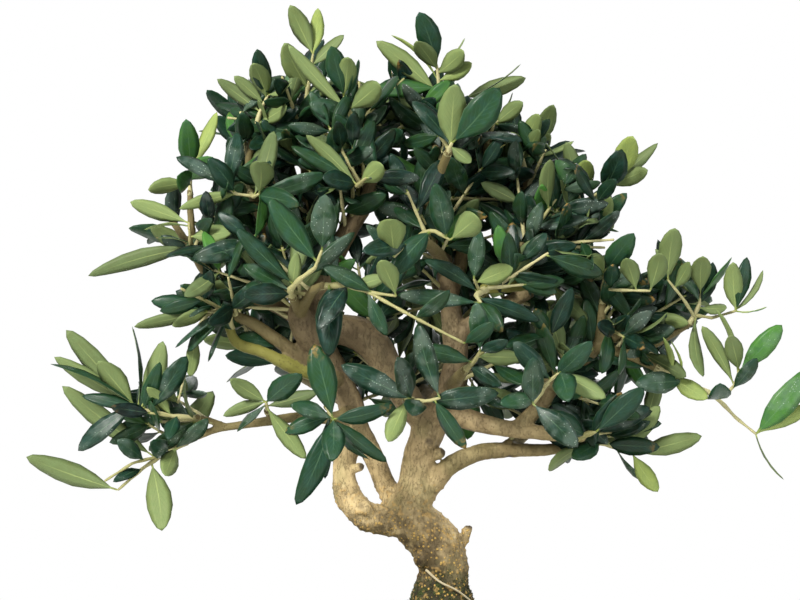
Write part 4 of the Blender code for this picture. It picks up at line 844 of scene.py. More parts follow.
# %% Smooth paths and tubes along them
def smooth_path(points, steps):
    """A Catmull-Rom curve through the rows of points, with as many columns as they have."""
    points = np.asarray(points, float)
    padded = np.concatenate([[2 * points[0] - points[1]], points, [2 * points[-1] - points[-2]]])
    t = np.linspace(0, 1, steps, endpoint=False)[None, :, None]
    p0, p1, p2, p3 = (padded[k:len(points) - 1 + k, None, :] for k in range(4))
    square = 2 * p0 - 5 * p1 + 4 * p2 - p3
    cube = 3 * p1 - p0 - 3 * p2 + p3
    curve = 2 * p1 + (p2 - p0) * t + square * t ** 2 + cube * t ** 3
    return np.concatenate([(curve / 2).reshape(-1, points.shape[1]), points[-1:]])


def unit(vectors):
    return vectors / np.maximum(np.linalg.norm(vectors, axis=-1, keepdims=True), 1e-12)


def tube_shell(path, radii, sides, data=0.0, slot=0):
    """Rings of a tube, closed by a point at each end."""
    path = np.asarray(path, float)
    along = unit(np.gradient(path, axis=0))
    across = [unit(np.cross(along[0], [0.31, 0.52, 0.79]))]
    for direction in along[1:]:
        across.append(unit(across[-1] - direction * (across[-1] @ direction)))
    across = np.array(across)
    other = np.cross(along, across)
    turns = np.linspace(0, 2 * np.pi, sides, endpoint=False)
    radius = np.broadcast_to(np.asarray(radii, float)[:, None], (len(path), sides))
    ring = across[:, None] * np.cos(turns)[None, :, None] + other[:, None] * np.sin(turns)[None, :, None]
    rings = path[:, None] + ring * radius[..., None]
    ends = np.array([path[0] - along[0] * radii[0] * 0.5, path[-1] + along[-1] * radii[-1] * 0.6])
    points = np.concatenate([rings.reshape(-1, 3), ends])
    share = np.repeat(np.linspace(0, 1, len(path)), sides)
    round_share = np.tile(turns / (2 * np.pi), len(path))
    uv = np.stack([np.append(share, [0, 1]), np.append(round_share, [0, 0])], axis=1)
    return shell(points, *capped_faces(len(path), sides), uv, data, slot)


# %% [markdown]
# ## Uneven surfaces
#
# Bark, moss and soil are uneven at many sizes at once. Blender's textures could displace them, but
# a noise written in numpy moves real points, so the shape is in the mesh itself.

# %% Smooth random values in space
SCRAMBLE = np.array([73856093, 19349663, 83492791])


def lattice_noise(points, size, seed=0):
    """Random numbers at the corners of a grid of cubes, eased between the corners, from -1 to 1."""
    grid = np.asarray(points, float) / size
    cell = np.floor(grid).astype(np.int64)
    part = grid - cell
    ease = part * part * (3 - 2 * part)
    total = np.zeros(len(grid))
    for corner in np.ndindex(2, 2, 2):
        at = cell + np.array(corner)
        x, y, z = (at * SCRAMBLE).T
        mixed = x ^ y ^ z ^ (seed * 2654435761)
        mixed = (mixed ^ (mixed >> 13)) * 1274126177 & 0xFFFFFF
        value = (mixed ^ (mixed >> 11)) % 4096 / 2047.5 - 1
        weight = np.prod(np.where(np.array(corner) == 1, ease, 1 - ease), axis=1)
        total += value * weight
    return total


def layered_noise(points, size, layers, seed=0):
    """Each further layer of noise is half as large and half as strong."""
    parts = 2.0 ** np.arange(layers)
    total = np.zeros(len(points))
    for layer, part in enumerate(parts):
        total += lattice_noise(points, size / part, seed + layer) / part
    return total / (1 / parts).sum()


sample = layered_noise(np.random.default_rng(1).random((500, 3)), 0.2, 3)
print("noise spans", np.round(np.ptp(sample), 2))

# %% [markdown]
# ## Writing finishes as expressions
#
# A procedural material is a sum of masks and colours. Written as nodes it is hard to read, so one
# small class wraps a socket and turns arithmetic into Math nodes. Every other node comes from a
# single method of the finish.

# %% A socket that can be calculated with
class Value:
    def __init__(self, finish, socket):
        self.finish = finish
        self.socket = socket

    def math(self, operation, first, second=None):
        inputs = {0: first} if second is None else {0: first, 1: second}
        return self.finish.node("ShaderNodeMath", inputs, operation=operation)

    def __add__(self, other):
        return self.math("ADD", self, other)

    def __sub__(self, other):
        return self.math("SUBTRACT", self, other)

    def __mul__(self, other):
        return self.math("MULTIPLY", self, other)

    def size(self):
        return self.math("ABSOLUTE", self)

    def wave(self):
        return self.math("SINE", self)

    __radd__ = __add__
    __rmul__ = __mul__

print("what a value can do:", [name for name in vars(Value) if not name.startswith("_")])

# %% [markdown]
# ## A finish and its nodes
#
# A finish holds the material, its node tree and its shader. node() adds any node, and the short
# methods below it name the few kinds that bark, leaves, clay and moss need.

# %% The finish
class Finish:
    def __init__(self, name):
        self.material = bpy.data.materials.new(name)
        self.material.use_nodes = True
        self.tree = self.material.node_tree
        self.shader = self.tree.nodes["Principled BSDF"]

    def node(self, kind, inputs=None, output=0, **settings):
        """Any node: its settings first, then the values or links of its sockets."""
        made = self.tree.nodes.new(kind)
        for setting, value in settings.items():
            setattr(made, setting, value)
        for socket, value in (inputs or {}).items():
            self.plug(made.inputs[socket], value)
        return Value(self, made.outputs[output])

    def plug(self, socket, value):
        if isinstance(value, Value):
            self.tree.links.new(value.socket, socket)
        elif socket.type == "RGBA" and len(value) == 3:
            socket.default_value = (*value, 1)
        else:
            socket.default_value = value

    def place(self):
        return self.node("ShaderNodeTexCoord", output=3)

    def uv_parts(self):
        pair = self.node("ShaderNodeUVMap", uv_map="along_across")
        split = self.node("ShaderNodeSeparateXYZ", {0: pair})
        return split, Value(self, split.socket.node.outputs[1])

    def data_parts(self):
        stored = self.node("ShaderNodeAttribute", attribute_name="data")
        split = self.node("ShaderNodeSeparateColor", {0: stored})
        parts = split.socket.node.outputs
        return Value(self, parts[0]), Value(self, parts[1]), Value(self, parts[2])

    def noise(self, scale, detail=3.0, roughness=0.55, where=None):
        inputs = {"Scale": scale, "Detail": detail, "Roughness": roughness}
        inputs["Vector"] = where or self.place()
        return self.node("ShaderNodeTexNoise", inputs)

    def cells(self, scale):
        """The distance to the nearest of many scattered points."""
        return self.node("ShaderNodeTexVoronoi", {"Scale": scale, "Vector": self.place()})

    def stretched(self, scale):
        """Object coordinates scaled by a different amount on each axis."""
        return self.node("ShaderNodeMapping", {"Vector": self.place(), "Scale": scale})

    def step(self, value, low, high):
        """0 below low, 1 above high, eased between. High may be the smaller one."""
        inputs = {"Value": value, "From Min": low, "From Max": high, "To Min": 0.0, "To Max": 1.0}
        return self.node("ShaderNodeMapRange", inputs, interpolation_type="SMOOTHSTEP")

    def mix(self, mask, first, second):
        return self.node("ShaderNodeMix", {0: mask, 6: first, 7: second}, output=2, data_type="RGBA")

    def bump(self, height, strength, distance):
        inputs = {"Height": height, "Strength": strength, "Distance": distance}
        self.plug(self.shader.inputs["Normal"], self.node("ShaderNodeBump", inputs))

    def set(self, **sockets):
        for socket, value in sockets.items():
            self.plug(self.shader.inputs[socket.replace("_", " ")], value)
        return self.material


def linear(code):
    """A colour written as on screen, such as 7A6B52, as the three linear numbers that a shader wants."""
    shares = [int(code[k:k + 2], 16) / 255 for k in (0, 2, 4)]
    return tuple(s / 12.92 if s <= 0.04045 else ((s + 0.055) / 1.055) ** 2.4 for s in shares)


print("mid grey in linear light:", np.round(linear("808080"), 3))

# %% [markdown]
# ## The upper side of a leaf
#
# An olive leaf is leathery. Its upper side is a dark blue-green under a thin wax, so it shines softly
# and greys where the sky is reflected. Blue-grey patches are painted on as well, both as the wax's
# bloom and as a painted sheen. A pale midrib runs along it, side veins show faintly, and hard water
# leaves pale specks. The leaf's UV map runs along it and across it, which lets the veins follow the
# blade. The data attribute carries the leaf's tone and youth; the lowest tones, near black, are
# painted shade for the sprays deep in the crown.

# %% Finish of the upper side
def leaf_top_finish():
    finish = Finish("leaf_top")
    along, across = finish.uv_parts()
    tone, young, chance = finish.data_parts()
    off = (across - 0.5).size()
    # Tone runs from near black to dark green; the lowest tones, which the sprays get, are painted shade.
    tone_and_painted_shade = finish.mix(tone, linear("020806"), linear("122A1C"))
    base = finish.mix(young, tone_and_painted_shade, linear("3F6A2A"))
    # Blue-grey patches: the wax's bloom and a painted sheen; the same patches vary the roughness.
    patch = finish.step(finish.noise(210.0, 3.0), 0.35, 0.75)
    base = finish.mix(patch * 0.35, base, linear("1B3A36"))
    vein = (along * 62.0 - off * 46.0).wave()
    side_veins = finish.step(vein, 0.80, 1.0) * finish.step(off, 0.5, 0.05)
    base = finish.mix(side_veins * 0.16, base, linear("3B5F49"))
    midrib = finish.step(off, 0.034, 0.010) * finish.step(along, 1.0, 0.35)
    base = finish.mix(midrib * 0.25, base, linear("587556"))
    margin = finish.step(off, 0.465, 0.5)
    base = finish.mix(margin * 0.3, base, linear("5F7A55"))
    stalk = finish.step(along, 0.11, 0.04)
    base = finish.mix(stalk * 0.8, base, linear("76803C"))
    spotted = finish.step(chance, 0.5, 0.3) * finish.step(finish.noise(75.0, 2.0), 0.46, 0.62)
    specks = finish.step(finish.cells(640.0), 0.2, 0.06) * spotted
    base = finish.mix(specks * 0.7 + spotted * 0.07, base, linear("AEBBB0"))
    wear = finish.step(chance, 0.86, 1.0) * finish.step(along, 0.75, 1.0)
    wear = wear * finish.step(finish.noise(330.0), 0.45, 0.6)
    base = finish.mix(wear * 0.6, base, linear("8A6A34"))
    rough = 0.34 + patch * 0.12 + specks * 0.3
    finish.bump(midrib * -0.7 + side_veins * -0.25 + finish.noise(900.0, 3.0) * 0.2, 0.3, 0.0002)
    return finish.set(Base_Color=base, Roughness=rough, Coat_Weight=0.03, Coat_Roughness=0.2,
                      Specular_IOR_Level=0.13)


# %% [markdown]
# ## The underside of a leaf
#
# Beneath, the leaf is felted with tiny scales, so it is matt and pale, from silver-olive to
# yellow-green. Here the midrib stands proud and is paler than the blade. It is a second finish, not
# a second mesh: the faces of each leaf's lower half use it.

# %% Finish of the underside
def leaf_under_finish():
    finish = Finish("leaf_under")
    along, across = finish.uv_parts()
    tone, young, chance = finish.data_parts()
    off = (across - 0.5).size()
    base = finish.mix(tone, linear("303C20"), linear("647242"))
    base = finish.mix(young, base, linear("78863F"))
    patch = finish.step(finish.noise(260.0, 4.0), 0.3, 0.7)
    base = finish.mix(patch * 0.3, base, linear("566B42"))
    vein = (along * 62.0 - off * 46.0).wave()
    side_veins = finish.step(vein, 0.75, 1.0) * finish.step(off, 0.5, 0.06)
    base = finish.mix(side_veins * 0.25, base, linear("3C4F28"))
    midrib = finish.step(off, 0.036, 0.010) * finish.step(along, 1.0, 0.3)
    base = finish.mix(midrib * 0.34, base, linear("98A462"))
    margin = finish.step(off, 0.46, 0.5)
    base = finish.mix(margin * 0.35, base, linear("33482A"))
    stalk = finish.step(along, 0.12, 0.05)
    base = finish.mix(stalk * 0.8, base, linear("858B4A"))
    finish.bump(midrib * 0.8 + side_veins * 0.2 + finish.noise(1400.0, 3.0) * 0.3, 0.3, 0.0003)
    return finish.set(Base_Color=base, Roughness=0.62 + patch * 0.1, Specular_IOR_Level=0.3)


# %% [markdown]
# ## Twigs
#
# This year's twigs are pale, between beige and grey-green, with small warts where leaves have
# fallen. Tone and youth come from the data attribute again, so no two twigs have quite one colour.

# %% Finish of the twigs
def twig_finish():
    finish = Finish("twig_bark")
    tone, young, chance = finish.data_parts()
    base = finish.mix(tone, linear("716649"), linear("ADA183"))
    base = finish.mix(young, base, linear("7F8444"))
    grain = finish.noise(700.0, 4.0, 0.65)
    base = finish.mix(finish.step(grain, 0.5, 0.72) * 0.45, base, linear("5B4C33"))
    warts = finish.step(finish.cells(620.0), 0.24, 0.1)
    base = finish.mix(warts * 0.5, base, linear("CDBF93"))
    finish.bump(grain * 0.8 + warts * 0.7, 0.6, 0.0004)
    return finish.set(Base_Color=base, Roughness=0.68)


LEAF_FINISHES = (leaf_top_finish(), leaf_under_finish(), twig_finish())
print("leaf finishes:", [material.name for material in LEAF_FINISHES])

# %% [markdown]
# ## Smooth wood from overlapping tubes
#
# The limbs are tubes that run into one another. A voxel remesh melts them into one skin, so each
# fork gets the soft collar that a living fork has. The remesh is applied at once, since the bark is
# then worked into its points with numpy.

# %% Melt the limbs into one skin
VOXEL = 0.0011
FLARE_TOP = 0.094
FLARE = 0.34


def limb_path(rows):
    """Columns x, y, z and radius along a smooth limb. Near the soil the trunk flares into its roots."""
    drawn = np.array([[*on_sheet(*row[:3]), row[3] * MM] for row in rows])
    path = smooth_path(drawn, 6)
    if rows is LIMBS["trunk"]:
        low = np.clip((FLARE_TOP - path[:, 2]) / (FLARE_TOP - SOIL_HEIGHT), 0, 1)
        path[:, 3] *= 1 + FLARE * low ** 2 * (path[:, 2] > SOIL_HEIGHT - 0.004)
    return path


def applied(piece):
    """The piece with its modifiers worked into its mesh."""
    graph = bpy.context.evaluated_depsgraph_get()
    mesh = bpy.data.meshes.new_from_object(piece.evaluated_get(graph))
    piece.modifiers.clear()
    piece.data = mesh
    return piece


def get_points(mesh, what="co"):
    values = np.empty(len(mesh.vertices) * 3, np.float32)
    mesh.vertices.foreach_get(what, values)
    return values.reshape(-1, 3).astype(float)


LIMB_PATHS = {name: limb_path(rows) for name, rows in LIMBS.items()}
wood_shells = [tube_shell(path[:, :3], path[:, 3], 14) for path in LIMB_PATHS.values()]
for start, end, radius in STUBS.values():
    line = np.array([on_sheet(*start), on_sheet(*end)])
    wood_shells.append(tube_shell(line, np.array([1.15, 1.0]) * radius * MM, 10))
wood = put_mesh("trunk_and_limbs", wood_shells, [], ["trunk"])
remesh = wood.modifiers.new("skin", "REMESH")
remesh.mode = "VOXEL"
remesh.voxel_size = VOXEL
remesh.use_smooth_shade = True
smooth = wood.modifiers.new("collars", "SMOOTH")
smooth.factor = 0.5
smooth.iterations = 2
applied(wood)
print("skin of the wood:", len(wood.data.vertices), "points")

# %% [markdown]
# ## Bark worked into the points
#
# Old olive bark is lumpy, finely cracked along the limb, and low on this trunk it is set with small
# golden warts. Every point of the skin looks up the nearest limb, which tells how thick and so how
# old the wood is there. Age decides how deep the cracks go. Warts and knots are round bumps around
# chosen points, each with the height falling off as a bell curve.

# %% Lumps, cracks, warts and knots
WART_COUNT = 460
WART_TOP = 0.138
WART_RADIUS = 0.0011
KNOT_RADIUS = 0.0042
LUMP_HEIGHT, CRACK_DEPTH, GRAIN_HEIGHT = 0.0012, 0.0006, 0.0002
WART_HEIGHT, KNOT_HEIGHT, PIT_DEPTH = 0.0006, 0.0006, 0.0014
GREEN_LIMBS = ("olive_branch", "left_lower_branch", "left_spur")

rng = np.random.default_rng(7)
points = get_points(wood.data)
normals = get_points(wood.data, "normal")
samples = np.concatenate(list(LIMB_PATHS.values()))
green = np.concatenate([np.full(len(path), name in GREEN_LIMBS) for name, path in LIMB_PATHS.items()])


def nearest_sample(points, chunk=4000):
    found = [((part[:, None] - samples[None, :, :3]) ** 2).sum(axis=2) - samples[:, 3] ** 2
             for part in np.array_split(points, len(points) // chunk + 1)]
    return np.concatenate([each.argmin(axis=1) for each in found])


def bells(points, centres, radius):
    """The sum of exp(-(d/r)^2) over the centres."""
    total = np.zeros(len(points))
    for centre in centres:
        near = np.abs(points - centre).max(axis=1) < radius * 2.4
        total[near] += np.exp(-((points[near] - centre) ** 2).sum(axis=1) / radius ** 2)
    return total


nearest = nearest_sample(points)
radius_here = samples[nearest, 3]
age = np.clip((radius_here - 0.0022) / 0.006, 0, 1)
low = np.flatnonzero((points[:, 2] < WART_TOP) & (points[:, 2] > SOIL_HEIGHT) & (age > 0.6))
warts = bells(points, points[rng.choice(low, WART_COUNT, replace=False)], WART_RADIUS)
knots = np.array([on_sheet(*end) for _, end, _ in STUBS.values()])
knot = bells(points, knots, KNOT_RADIUS)
pits = bells(points, knots, KNOT_RADIUS * 0.5)
tall = points * [1, 1, 0.38]
lumps = layered_noise(points, 0.011, 2, 3) * LUMP_HEIGHT * age
cracks = -np.clip(layered_noise(tall, 0.0032, 2, 11), 0, 1) * CRACK_DEPTH * age
grain = layered_noise(points, 0.0022, 2, 23) * GRAIN_HEIGHT
raised = lumps + cracks + grain + np.clip(warts, 0, 1.2) * WART_HEIGHT
raised = raised + knot * KNOT_HEIGHT - pits * PIT_DEPTH
points = points + normals * raised[:, None]
wood.data.vertices.foreach_set("co", points.astype(np.float32).ravel())
damp = np.clip((0.098 + layered_noise(points, 0.012, 3, 5) * 0.012 - points[:, 2]) / 0.022, 0, 1)
stored = wood.data.attributes.new("data", "FLOAT_COLOR", "POINT")
young = np.maximum(0.75 * (1 - age), green[nearest])
masks = np.clip(np.stack([warts, young, damp, pits + 0.4 * knot], axis=1), 0, 1)
stored.data.foreach_set("color", masks.astype(np.float32).ravel())
wood.data.update()
print("warts:", WART_COUNT, "knots:", len(knots))

# %% [markdown]
# ## Bark colours
#
# The old wood is tan with brown specks and grey-green shadows, and its cracks are darker, partly in
# the bark's own colour and partly as painted shade in the crevices. Higher up, inside the crown, the
# wood is darkened as painted shade. Young limbs are olive-green and smooth. Low on the trunk golden
# granules sit on a dark ground, kept to the left side, where it is also painted shade, and at the soil
# the bark is damp and mossy. Four masks come from the data attribute, so the colours follow the same
# bumps as the shape.

# %% Finish of the bark
def bark_finish():
    finish = Finish("olive_bark")
    wart, young, damp_here = finish.data_parts()
    stored = finish.node("ShaderNodeAttribute", {}, 3, attribute_name="data")
    along = finish.stretched((1.0, 1.0, 0.35))
    patches = finish.step(finish.noise(48.0, 5.0), 0.36, 0.66)
    base = finish.mix(patches, linear("7C6B48"), linear("AE9A70"))
    streaks = finish.step(finish.noise(420.0, 4.0, 0.6, along), 0.52, 0.68)
    base = finish.mix(streaks * 0.3, base, linear("3E3120"))
    pale = finish.step(finish.noise(240.0, 3.0, 0.6), 0.58, 0.72)
    base = finish.mix(pale * 0.5, base, linear("B5A47A"))
    green = finish.step(finish.noise(38.0, 3.0), 0.5, 0.68)
    base = finish.mix(green * 0.4, base, linear("5B5B30"))
    height = finish.node("ShaderNodeSeparateXYZ", {0: finish.place()}, 2)
    column = Value(finish, height.socket.node.outputs[0])
    # Painted shade: the wood higher up, inside the crown, is darkened.
    base = finish.mix(finish.step(height, 0.135, 0.2) * 0.72, base, linear("33281A"))
    low = finish.step(height, 0.134, 0.106)
    # Dark ground of the granules, kept to the left side, where it is also painted shade.
    dark_ground_and_side_shade = finish.step(finish.noise(75.0, 3.0), 0.4, 0.54)
    dark_ground_and_side_shade = dark_ground_and_side_shade * low * finish.step(column, 0.022, 0.008)
    base = finish.mix(dark_ground_and_side_shade * 0.8, base, linear("32250F"))
    base = finish.mix(finish.step(young, 0.3, 0.65) * 0.6, base, linear("57512A"))
    base = finish.mix(finish.step(young, 0.82, 0.98) * 0.6, base, linear("6F7029"))
    # Dark cracks: partly the bark's own colour, partly painted shade in the crevices.
    cracks = finish.step((finish.noise(170.0, 6.0, 0.68, along) - 0.5).size(), 0.02, 0.0)
    cracks = cracks * finish.step(young, 0.7, 0.3)
    base = finish.mix(cracks * 0.2, base, linear("33260F"))
    specks = finish.step(finish.cells(520.0), 0.26, 0.1)
    base = finish.mix(specks * 0.4, base, linear("3A2A14"))
    base = finish.mix(damp_here * 0.92, base, linear("1A1A0C"))
    moss = finish.step(finish.noise(190.0, 4.0), 0.5, 0.62) * damp_here
    base = finish.mix(moss * 0.75, base, linear("36421A"))
    granules = finish.step(finish.cells(400.0), 0.34, 0.22) * low
    base = finish.mix(granules * 0.75, base, linear("B8964E"))
    base = finish.mix(finish.step(wart, 0.3, 0.9) * 0.5, base, linear("A5864E"))
    base = finish.mix(finish.step(stored, 0.3, 0.9) * 0.85, base, linear("2B2013"))
    rough = finish.noise(420.0, 5.0, 0.65, along) * 0.7 + specks * -0.4 + granules + cracks * -0.6
    finish.bump(rough, 0.7, 0.0009)
    return finish.set(Base_Color=base, Roughness=0.72 + damp_here * 0.15, Specular_IOR_Level=0.3)


wood.data.materials.clear()
wood.data.materials.append(bark_finish())
print("wood dressed:", wood.data.materials[0].name)

# %% [markdown]
# ## The shape of one leaf
#
# Along the leaf runs s from 0 to 1, and across it u from -1 to 1. The half width is a sine pulled
# towards the middle, after a short stalk. The blade is arched along, folded up from the midrib, and
# its edges ripple a little. Eight points go round each station, five above and three below, so a
# leaf is a closed body of 72 faces and its two sides can have different finishes.

# %% Many leaves at once
STATIONS = np.array([0.02, 0.09, 0.16, 0.29, 0.47, 0.66, 0.84, 0.955])
AROUND = np.array([1, 0.5, 0, -0.5, -1, -0.5, 0, 0.5])
SIDE = np.array([0, 1, 1, 1, 0, -1, -1, -1])
STALK = 0.00055
LEAF_HALF_THICK = 0.00024
BLADE_RANGES = {"arch": (0.02, 0.085), "fold": (0.12, 0.4), "roll": (0.05, 0.3),
                "belly": (0.9, 1.25), "sickle": (-0.03, 0.03), "phase": (0, 6.3)}
BOX_LOW, BOX_HIGH = (np.array(corner) for corner in cad_box)


def leaf_index():
    """Quads, triangles, and for each face the slot of its finish: 0 above and 1 beneath."""
    under = np.arange(len(AROUND)) > 3
    slots = np.tile(under, len(STATIONS) + 1).astype(int)
    return *capped_faces(len(STATIONS), len(AROUND)), slots


def leaf_shells(places, youth=0.05, turned=0.0, tones=(0.2, 1.0)):
    """w(s) = W/2 sin(pi s^q)^(1 - s/2); height(s, u) = 4 a L s(1-s) + f |u| w - r u^2 w + ripple."""
    count = len(places)
    base, tip = (np.array([place[k] for place in places]) for k in (0, 1))
    frames = [leaf_frame(Vector(b), Vector(t), place[2]) for b, t, place in zip(base, tip, places)]
    along, upper, across = (np.array([frame[k] for frame in frames])[:, None, None] for k in range(3))
    length = np.linalg.norm(tip - base, axis=1)[:, None, None]
    wide = np.array([place[3] for place in places])[:, None, None] / 2
    arch, fold, roll, belly, sickle, phase = (
        rng.uniform(low, high, (count, 1, 1)) for low, high in BLADE_RANGES.values())
    s = STATIONS[None, :, None]
    u = AROUND[None, None, :]
    blade_share = np.clip((s - 0.06) / 0.94, 0, 1)
    half = np.maximum(wide * np.sin(np.pi * blade_share ** belly) ** (1 - s / 2), STALK * (1 - 0.7 * s))
    lift = fold * np.abs(u) * half - roll * u ** 2 * half + 0.09 * half * u * np.sin(9 * s + phase)
    height = arch * length * 4 * s * (1 - s) + lift * (s > 0.1)
    thick = np.where(s < 0.12, STALK * 0.8, LEAF_HALF_THICK * (1.5 - 0.8 * np.abs(u))) * SIDE
    start = base[:, None, None] - along * LEAF_SUNK
    sideways = across * (u * half + sickle * length * 4 * s * (1 - s))[..., None]
    rings = start + along * (length * s)[..., None] + sideways + upper * (height + thick)[..., None]
    body = np.concatenate([rings.reshape(count, -1, 3), start[:, 0], tip[:, None]], axis=1)
    grid_s = np.append(np.repeat(STATIONS, len(AROUND)), [0, 1])
    past = np.clip(BOX_LOW - body, 0, None).max(axis=1) - np.clip(body - BOX_HIGH, 0, None).max(axis=1)
    body += past[:, None] * np.minimum(grid_s * 1.7, 1)[None, :, None]
    body = np.clip(body, BOX_LOW + 0.0001, BOX_HIGH - 0.0001)
    quads, triangles, slots = leaf_index()
    grid_u = np.append(np.tile(AROUND, len(STATIONS)), [0, 0]) / 2 + 0.5
    uv = np.stack([grid_s, grid_u], axis=1)
    tone = rng.uniform(*tones, count)
    young = np.where(rng.random(count) < youth, rng.uniform(0.4, 0.9, count), rng.uniform(0, 0.16, count))
    data = np.stack([tone, young, rng.random(count), np.ones(count)], axis=1)
    sides = np.where(rng.random((count, 1)) < turned, 1 - slots, slots)
    return [shell(body[k], quads, triangles, uv, data[k], sides[k]) for k in range(count)]


print("faces of a leaf:", sum(len(each) for each in leaf_index()[:2]))

# %% [markdown]
# ## Fine twigs
#
# A twig is a seven-sided tube. It thins towards its tip and swells a little every few millimetres, as
# where leaf pairs have stood.

# %% Tubes of the twigs
TWIG_STEP = 0.003
TWIG_END = 0.0007


def resampled(path):
    """Points along a path of straight pieces, about a step apart."""
    path = np.array([list(point) for point in path])
    runs = np.append(0, np.cumsum(np.linalg.norm(np.diff(path, axis=0), axis=1)))
    at = np.linspace(0, runs[-1], max(int(runs[-1] / TWIG_STEP), 2) + 1)
    return np.stack([np.interp(at, runs, path[:, axis]) for axis in range(3)], axis=1)


def twig_shell(path, start):
    line = resampled(path)
    share = np.linspace(0, 1, len(line))
    radii = (start + (TWIG_END - start) * share) * (1 + 0.16 * np.cos(share * len(line) * 1.6))
    return tube_shell(line, radii, 7, [rng.random(), 0.5, rng.random(), 1], 2)


print("points on a twig of 30 mm:", len(resampled([(0, 0, 0), (0, 0, 0.03)])))

# %% [markdown]
# ## Dress every shoot
#
# Each shoot of the frame becomes one fine piece: its twigs, then its leaves at the places that the
# test kept. A twig starts just inside the limb's end, so that no seam shows between them. Some leaves
# of the ruled shoots are turned over, since their upper sides would otherwise all face one way.

# %% Fine shoots
YOUNG_SHOOTS = {"right_droop": 0.45, "right_far": 0.35, "right_low": 0.3, "left_high": 0.3,
                "apex_left": 0.2, "apex_right": 0.2, "low_left_tip": 0.2, "shoulder_right": 0.15}

for name, (parent, paths, _) in shoots.items():
    end, direction, radius = limb_end(parent)
    shells = []
    for index, path in enumerate(paths):
        start = SIDE_TWIG_RADIUS if index else radius * 0.97
        line = path if index else [end - direction * 0.003] + path[1:]
        shells.append(twig_shell(line, start))
    youth = YOUNG_SHOOTS.get(name, 0.0)
    turned = 0.4 if name in RULED_SHOOTS else 0.0
    shells += leaf_shells(places[name], youth, turned)
    put_mesh("leaves_" + name, shells, LEAF_FINISHES, [name])
print("shoots dressed:", len(shoots))

# %% [markdown]
# ## Small sprays that fill the crown
#
# The drawn leaves make the front. A real crown also has many small sprays further back, seen as
# depth between the front leaves. They are grown by a seeded rule on thin limbs. From the front they
# may only show where drawn leaves already are, so a map of the cells that those leaves cover is made
# first, with polygons round the dense middle of the crown and round the low left branch's
# leaves. A spray's leaf that would leave the map isn't grown, so the outline stays as drawn. The old
# limbs low in the crown can be seen from the front, so no spray may pass in front of them.

# %% Map of the cells that leaves cover from the front
CELL = 6
SPRAY_TRIES = 2600
SPRAY_LEAVES = 1450
SPRAY_LENGTHS = (0.018, 0.056)
FRONT_LIMIT = -0.062
BACK_FROM = 0.028
BARE_RADIUS = 0.0043
LEFT_BARE_RADIUS = 0.0031
LEFT_FROM = -0.05
BARE_TOP = 0.244
CROWN = [(212, 176), (232, 122), (258, 98), (290, 66), (330, 70), (376, 84), (420, 68), (466, 92),
         (512, 112), (556, 146), (598, 172), (628, 192), (600, 214), (592, 240), (622, 254), (662, 274),
         (690, 292),
         (716, 308), (700, 322), (668, 340), (660, 376), (688, 430), (640, 452), (600, 436), (560, 450),
         (510, 432), (470, 424), (446, 438), (420, 404), (396, 420), (352, 408), (300, 412), (240, 398),
         (262, 380), (232, 330), (176, 318), (164, 300), (196, 272), (180, 250), (196, 222), (196, 194)]
LEFT_CLUSTER = [(88, 356), (128, 342), (160, 354), (196, 374), (204, 402), (176, 434), (120, 438),
                (94, 412)]


def to_sheet(points):
    """Columns and rows of points in space: on_sheet turned round."""
    points = np.asarray(points)
    spread = 1 + (points[..., 1] - SHEET_Y) / EYE_DISTANCE
    x = EYE_X + (points[..., 0] - EYE_X) / spread
    z = EYE_Z + (points[..., 2] - EYE_Z) / spread
    return np.stack([x / SHEET + SHEET_MIDDLE, SOIL_ROW - (z - SOIL_HEIGHT) / SHEET], axis=-1)


def leaf_samples(base, tip, turn, width):
    along, upper, across = leaf_frame(Vector(base), Vector(tip), turn)
    share = np.linspace(0.1, 1, 7)[:, None, None]
    side = np.array([-1, 0, 1])[None, :, None] * np.sin(np.pi * share) * width / 2
    line = np.array(base) + (np.array(tip) - np.array(base)) * share
    return (line + side * np.array(across)).reshape(-1, 3)


covered = np.zeros((1000 // CELL, 1000 // CELL), bool)
for found in places.values():
    for place in found:
        cells = (to_sheet(leaf_samples(*place)) / CELL).astype(int)
        covered[cells[:, 0], cells[:, 1]] = True


def inside_polygon(points, corners):
    """Whether each point lies inside: a line to the right crosses the edges an odd number of times."""
    x, y = points[..., 0, None], points[..., 1, None]
    first = np.array(corners, float)
    x1, y1 = first[:, 0], first[:, 1]
    x2, y2 = np.roll(x1, -1), np.roll(y1, -1)
    slope = (x2 - x1) / np.where(y1 == y2, 1, y2 - y1)
    crosses = ((y1 > y) != (y2 > y)) & (x < x1 + (y - y1) * slope)
    return crosses.sum(axis=-1) % 2 == 1


centres = (np.stack(np.meshgrid(*[np.arange(len(covered))] * 2, indexing="ij"), axis=-1) + 0.5) * CELL
covered |= inside_polygon(centres, CROWN) | inside_polygon(centres, LEFT_CLUSTER)
wood_depth = np.full(covered.shape, -np.inf)
bare = np.concatenate(list(LIMB_PATHS.values()))
bare_radius = np.where(bare[:, 0] < LEFT_FROM, LEFT_BARE_RADIUS, BARE_RADIUS)
bare = bare[(bare[:, 3] > bare_radius) & (bare[:, 2] < BARE_TOP)]
for spot in bare:
    reach = spot[3] / (SHEET * CELL)
    column, row = to_sheet(spot[:3]) / CELL
    near = np.hypot(*(np.indices(covered.shape) - np.array([column, row])[:, None, None])) < reach + 0.7
    wood_depth[near] = np.maximum(wood_depth[near], spot[1])
print("cells that sprays may cover:", covered.sum())

# %% [markdown]
# ## Growing the sprays
#
# A spray is tried at a random point of a limb, and grows away from the middle of the crown with much
# scatter. It is kept when at least four of its leaves pass the map. Its leaves get lower tones than
# the drawn ones, a painted shade for the inside of the crown, and at the back more of them are turned
# over.

